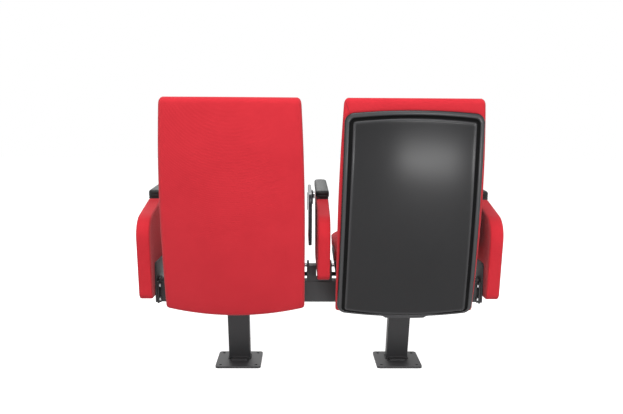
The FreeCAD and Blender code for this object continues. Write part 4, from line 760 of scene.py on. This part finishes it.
def seat_pad(centre):
    """Rings of the seat cushion, from the middle of its underside over its sides to the middle of its top. Each is
    a rounded rectangle in plan drawn in by its inset. The underside is the arc of 36 mm round the hinge and a
    slope of 0.102 ahead of it; a side ring lies at its share of the way up to the 427 mm edge, and a top ring at
    427 + 20 sin t mm with an inset of 64 (1 - cos t) mm, which runs on flat to the middle."""
    under = [(inset, 0.0) for inset in (0.19, 0.14, 0.10, 0.07, 0.05, 0.036, 0.028, 0.021, 0.015, 0.010)]
    sides = [(0.0125, 0.0), (0.0110, 0.05), (0.0085, 0.14), (0.006, 0.3), (0.004, 0.45), (0.002, 0.65),
             (0.0006, 0.85), (0.0, 1.0)]
    top = [(0.064 * (1 - math.cos(turn)), 1 + math.sin(turn)) for turn in np.radians([14, 28, 42, 56, 70, 82])]
    top += [(inset, 2.0) for inset in (0.075, 0.10, 0.13, 0.16, 0.19)]
    inset, height = (np.array(column)[:, None] for column in zip(*(under + sides + top)))
    across, along, arc_x, arc_y = (value[None] for value in loop_template(24, 18, 8))
    half = seat_half - seat_shy - inset
    rear, front = seat_rear + seat_shy + inset, seat_front - seat_shy - inset
    middle, reach = (rear + front) / 2, (front - rear) / 2
    corner = np.where(along > 0, seat_corner_rear, seat_corner_front)
    radius = np.minimum(np.maximum(corner - inset * 0.4, 0.012), 0.9 * reach)
    x = across * (half - radius) + arc_x * radius
    ahead = middle - along * (reach - radius) - arc_y * radius
    arc = np.sqrt(np.clip(hinge_arc ** 2 - (hinge_ahead - ahead) ** 2, 0, None))
    belly = np.where(ahead < hinge_ahead, hinge_height - arc,
                     belly_height + (ahead - hinge_ahead) * belly_slope) + seat_shy
    edge = seat_edge - seat_shy
    z = np.where(height <= 1, belly + height * (edge - belly), edge + seat_crown * (height - 1))
    rings = np.stack([x + centre, beam_rear - ahead, z], axis=-1)
    return np.concatenate([pinch(rings[0])[None], rings, pinch(rings[-1])[None]])


def off_the_pan(points):
    """0 on the underside, rising to 1 within 30 mm above it, and held back near the rear edge."""
    ahead = beam_rear - points[:, 1]
    belly = belly_height + seat_shy + np.clip(ahead - hinge_ahead, 0, None) * belly_slope
    return np.clip((points[:, 2] - belly) / 0.030, 0, 1) * np.clip((ahead - seat_rear) / 0.02, 0.15, 1)


def seat_seam(inset, height):
    """Rounded rectangle of the seat's plan drawn in by inset, level at height."""
    across, along, arc_x, arc_y = loop_template(24, 18, 8)
    radius = np.where(along > 0, seat_corner_rear, seat_corner_front)
    half, middle, reach = seat_half - inset, (seat_rear + seat_front) / 2, (seat_front - seat_rear) / 2 - inset
    ahead = middle - along * (reach - radius) - arc_y * radius
    return np.column_stack([seat_centre + across * (half - radius) + arc_x * radius, beam_rear - ahead,
                            np.full(len(across), height)])


seat_left = skin("seat_pad_left", seat_pad(seat_centre), cloth, "seat_left", ("seat_cushion_left",))
plump(seat_left, 0.010, off_the_pan)
second_seat(seat_left, "seat_pad_right", "seat_right", "seat_cushion_right")
top_seam = lay_on(seat_left, seat_seam(0.004, 0.433))
for side, shift in (("left", 0.0), ("right", -seat_pitch)):
    seam("seat_seam_" + side, top_seam + (shift, 0, 0), 0.0013, "seat_" + side)


# Armrest pads: integral-skin foam with a fine leather-like skin and a low sheen, on a screwed base, rounded at
# both ends and over its long edges. The skin is moulded in two halves, so a fine parting groove runs round it.
pad_under, pad_middle, pad_half_length, pad_half_width = 0.621, 0.298, 0.170, 0.025
armrest_skin = hard_finish("armrest_skin", (0.016, 0.017, 0.017), (0.04, 0.04, 0.042), 0.60,
                           grain_scale=650.0, grain_depth=0.00012, edge_width=0.003, gloss=0.22)
wear_finish(armrest_skin, "armrest")


def armrest_pad(name, centre):
    """Rings of a pad from the middle of its underside to the middle of its top: a rounded rectangle 50 by 340 mm,
    drawn in by 9 (1 - cos t) mm over the top edge, by 0.9 mm in the parting groove, and crowned by 1.6 mm. It
    rises forward at 2.4 degrees. Rings are pairs of inset and height over the underside."""
    under = [(0.022, 0.0), (0.014, 0.0), (0.006, 0.0), (0.002, 0.0)]
    wall = [(0.0005, 0.0006), (0.0, 0.002), (0.0, 0.0068), (0.0009, 0.0076), (0.0009, 0.0084), (0.0, 0.0092),
            (0.0, 0.0150)]
    over = [(0.009 * (1 - math.cos(turn)), 0.0150 + 0.009 * math.sin(turn))
            for turn in np.radians([15, 30, 45, 60, 75, 90])]
    flat = [(0.0115, 0.0244), (0.0145, 0.0251), (0.018, 0.0255), (0.0215, 0.0256)]
    inset, level = (np.array(column)[:, None] for column in zip(*(under + wall + over + flat)))
    across, along, arc_x, arc_y = (value[None] for value in loop_template(4, 40, 8))
    radius = np.clip(0.017 - inset * 0.6, 0.002, None)
    half, reach = pad_half_width - inset, pad_half_length - inset
    x = across * (half - radius) + arc_x * radius
    ahead = pad_middle - along * (reach - radius) - arc_y * radius
    z = pad_under + (ahead - ahead_rear_top) * armrest_rise + level
    rings = np.stack([x + centre, beam_rear - ahead, z + 0 * x], axis=-1)
    ends = rings[[0, -1]].copy()
    ends[:, :, 0] = centre
    pad = skin("armrest_pad_" + name, np.concatenate([ends[:1], rings, ends[1:]]), armrest_skin, "stand",
               ("armrest_" + name,))


armrest_pad("left", 0.622)
armrest_pad("right", -0.622)
armrest_pad("middle", -0.013)
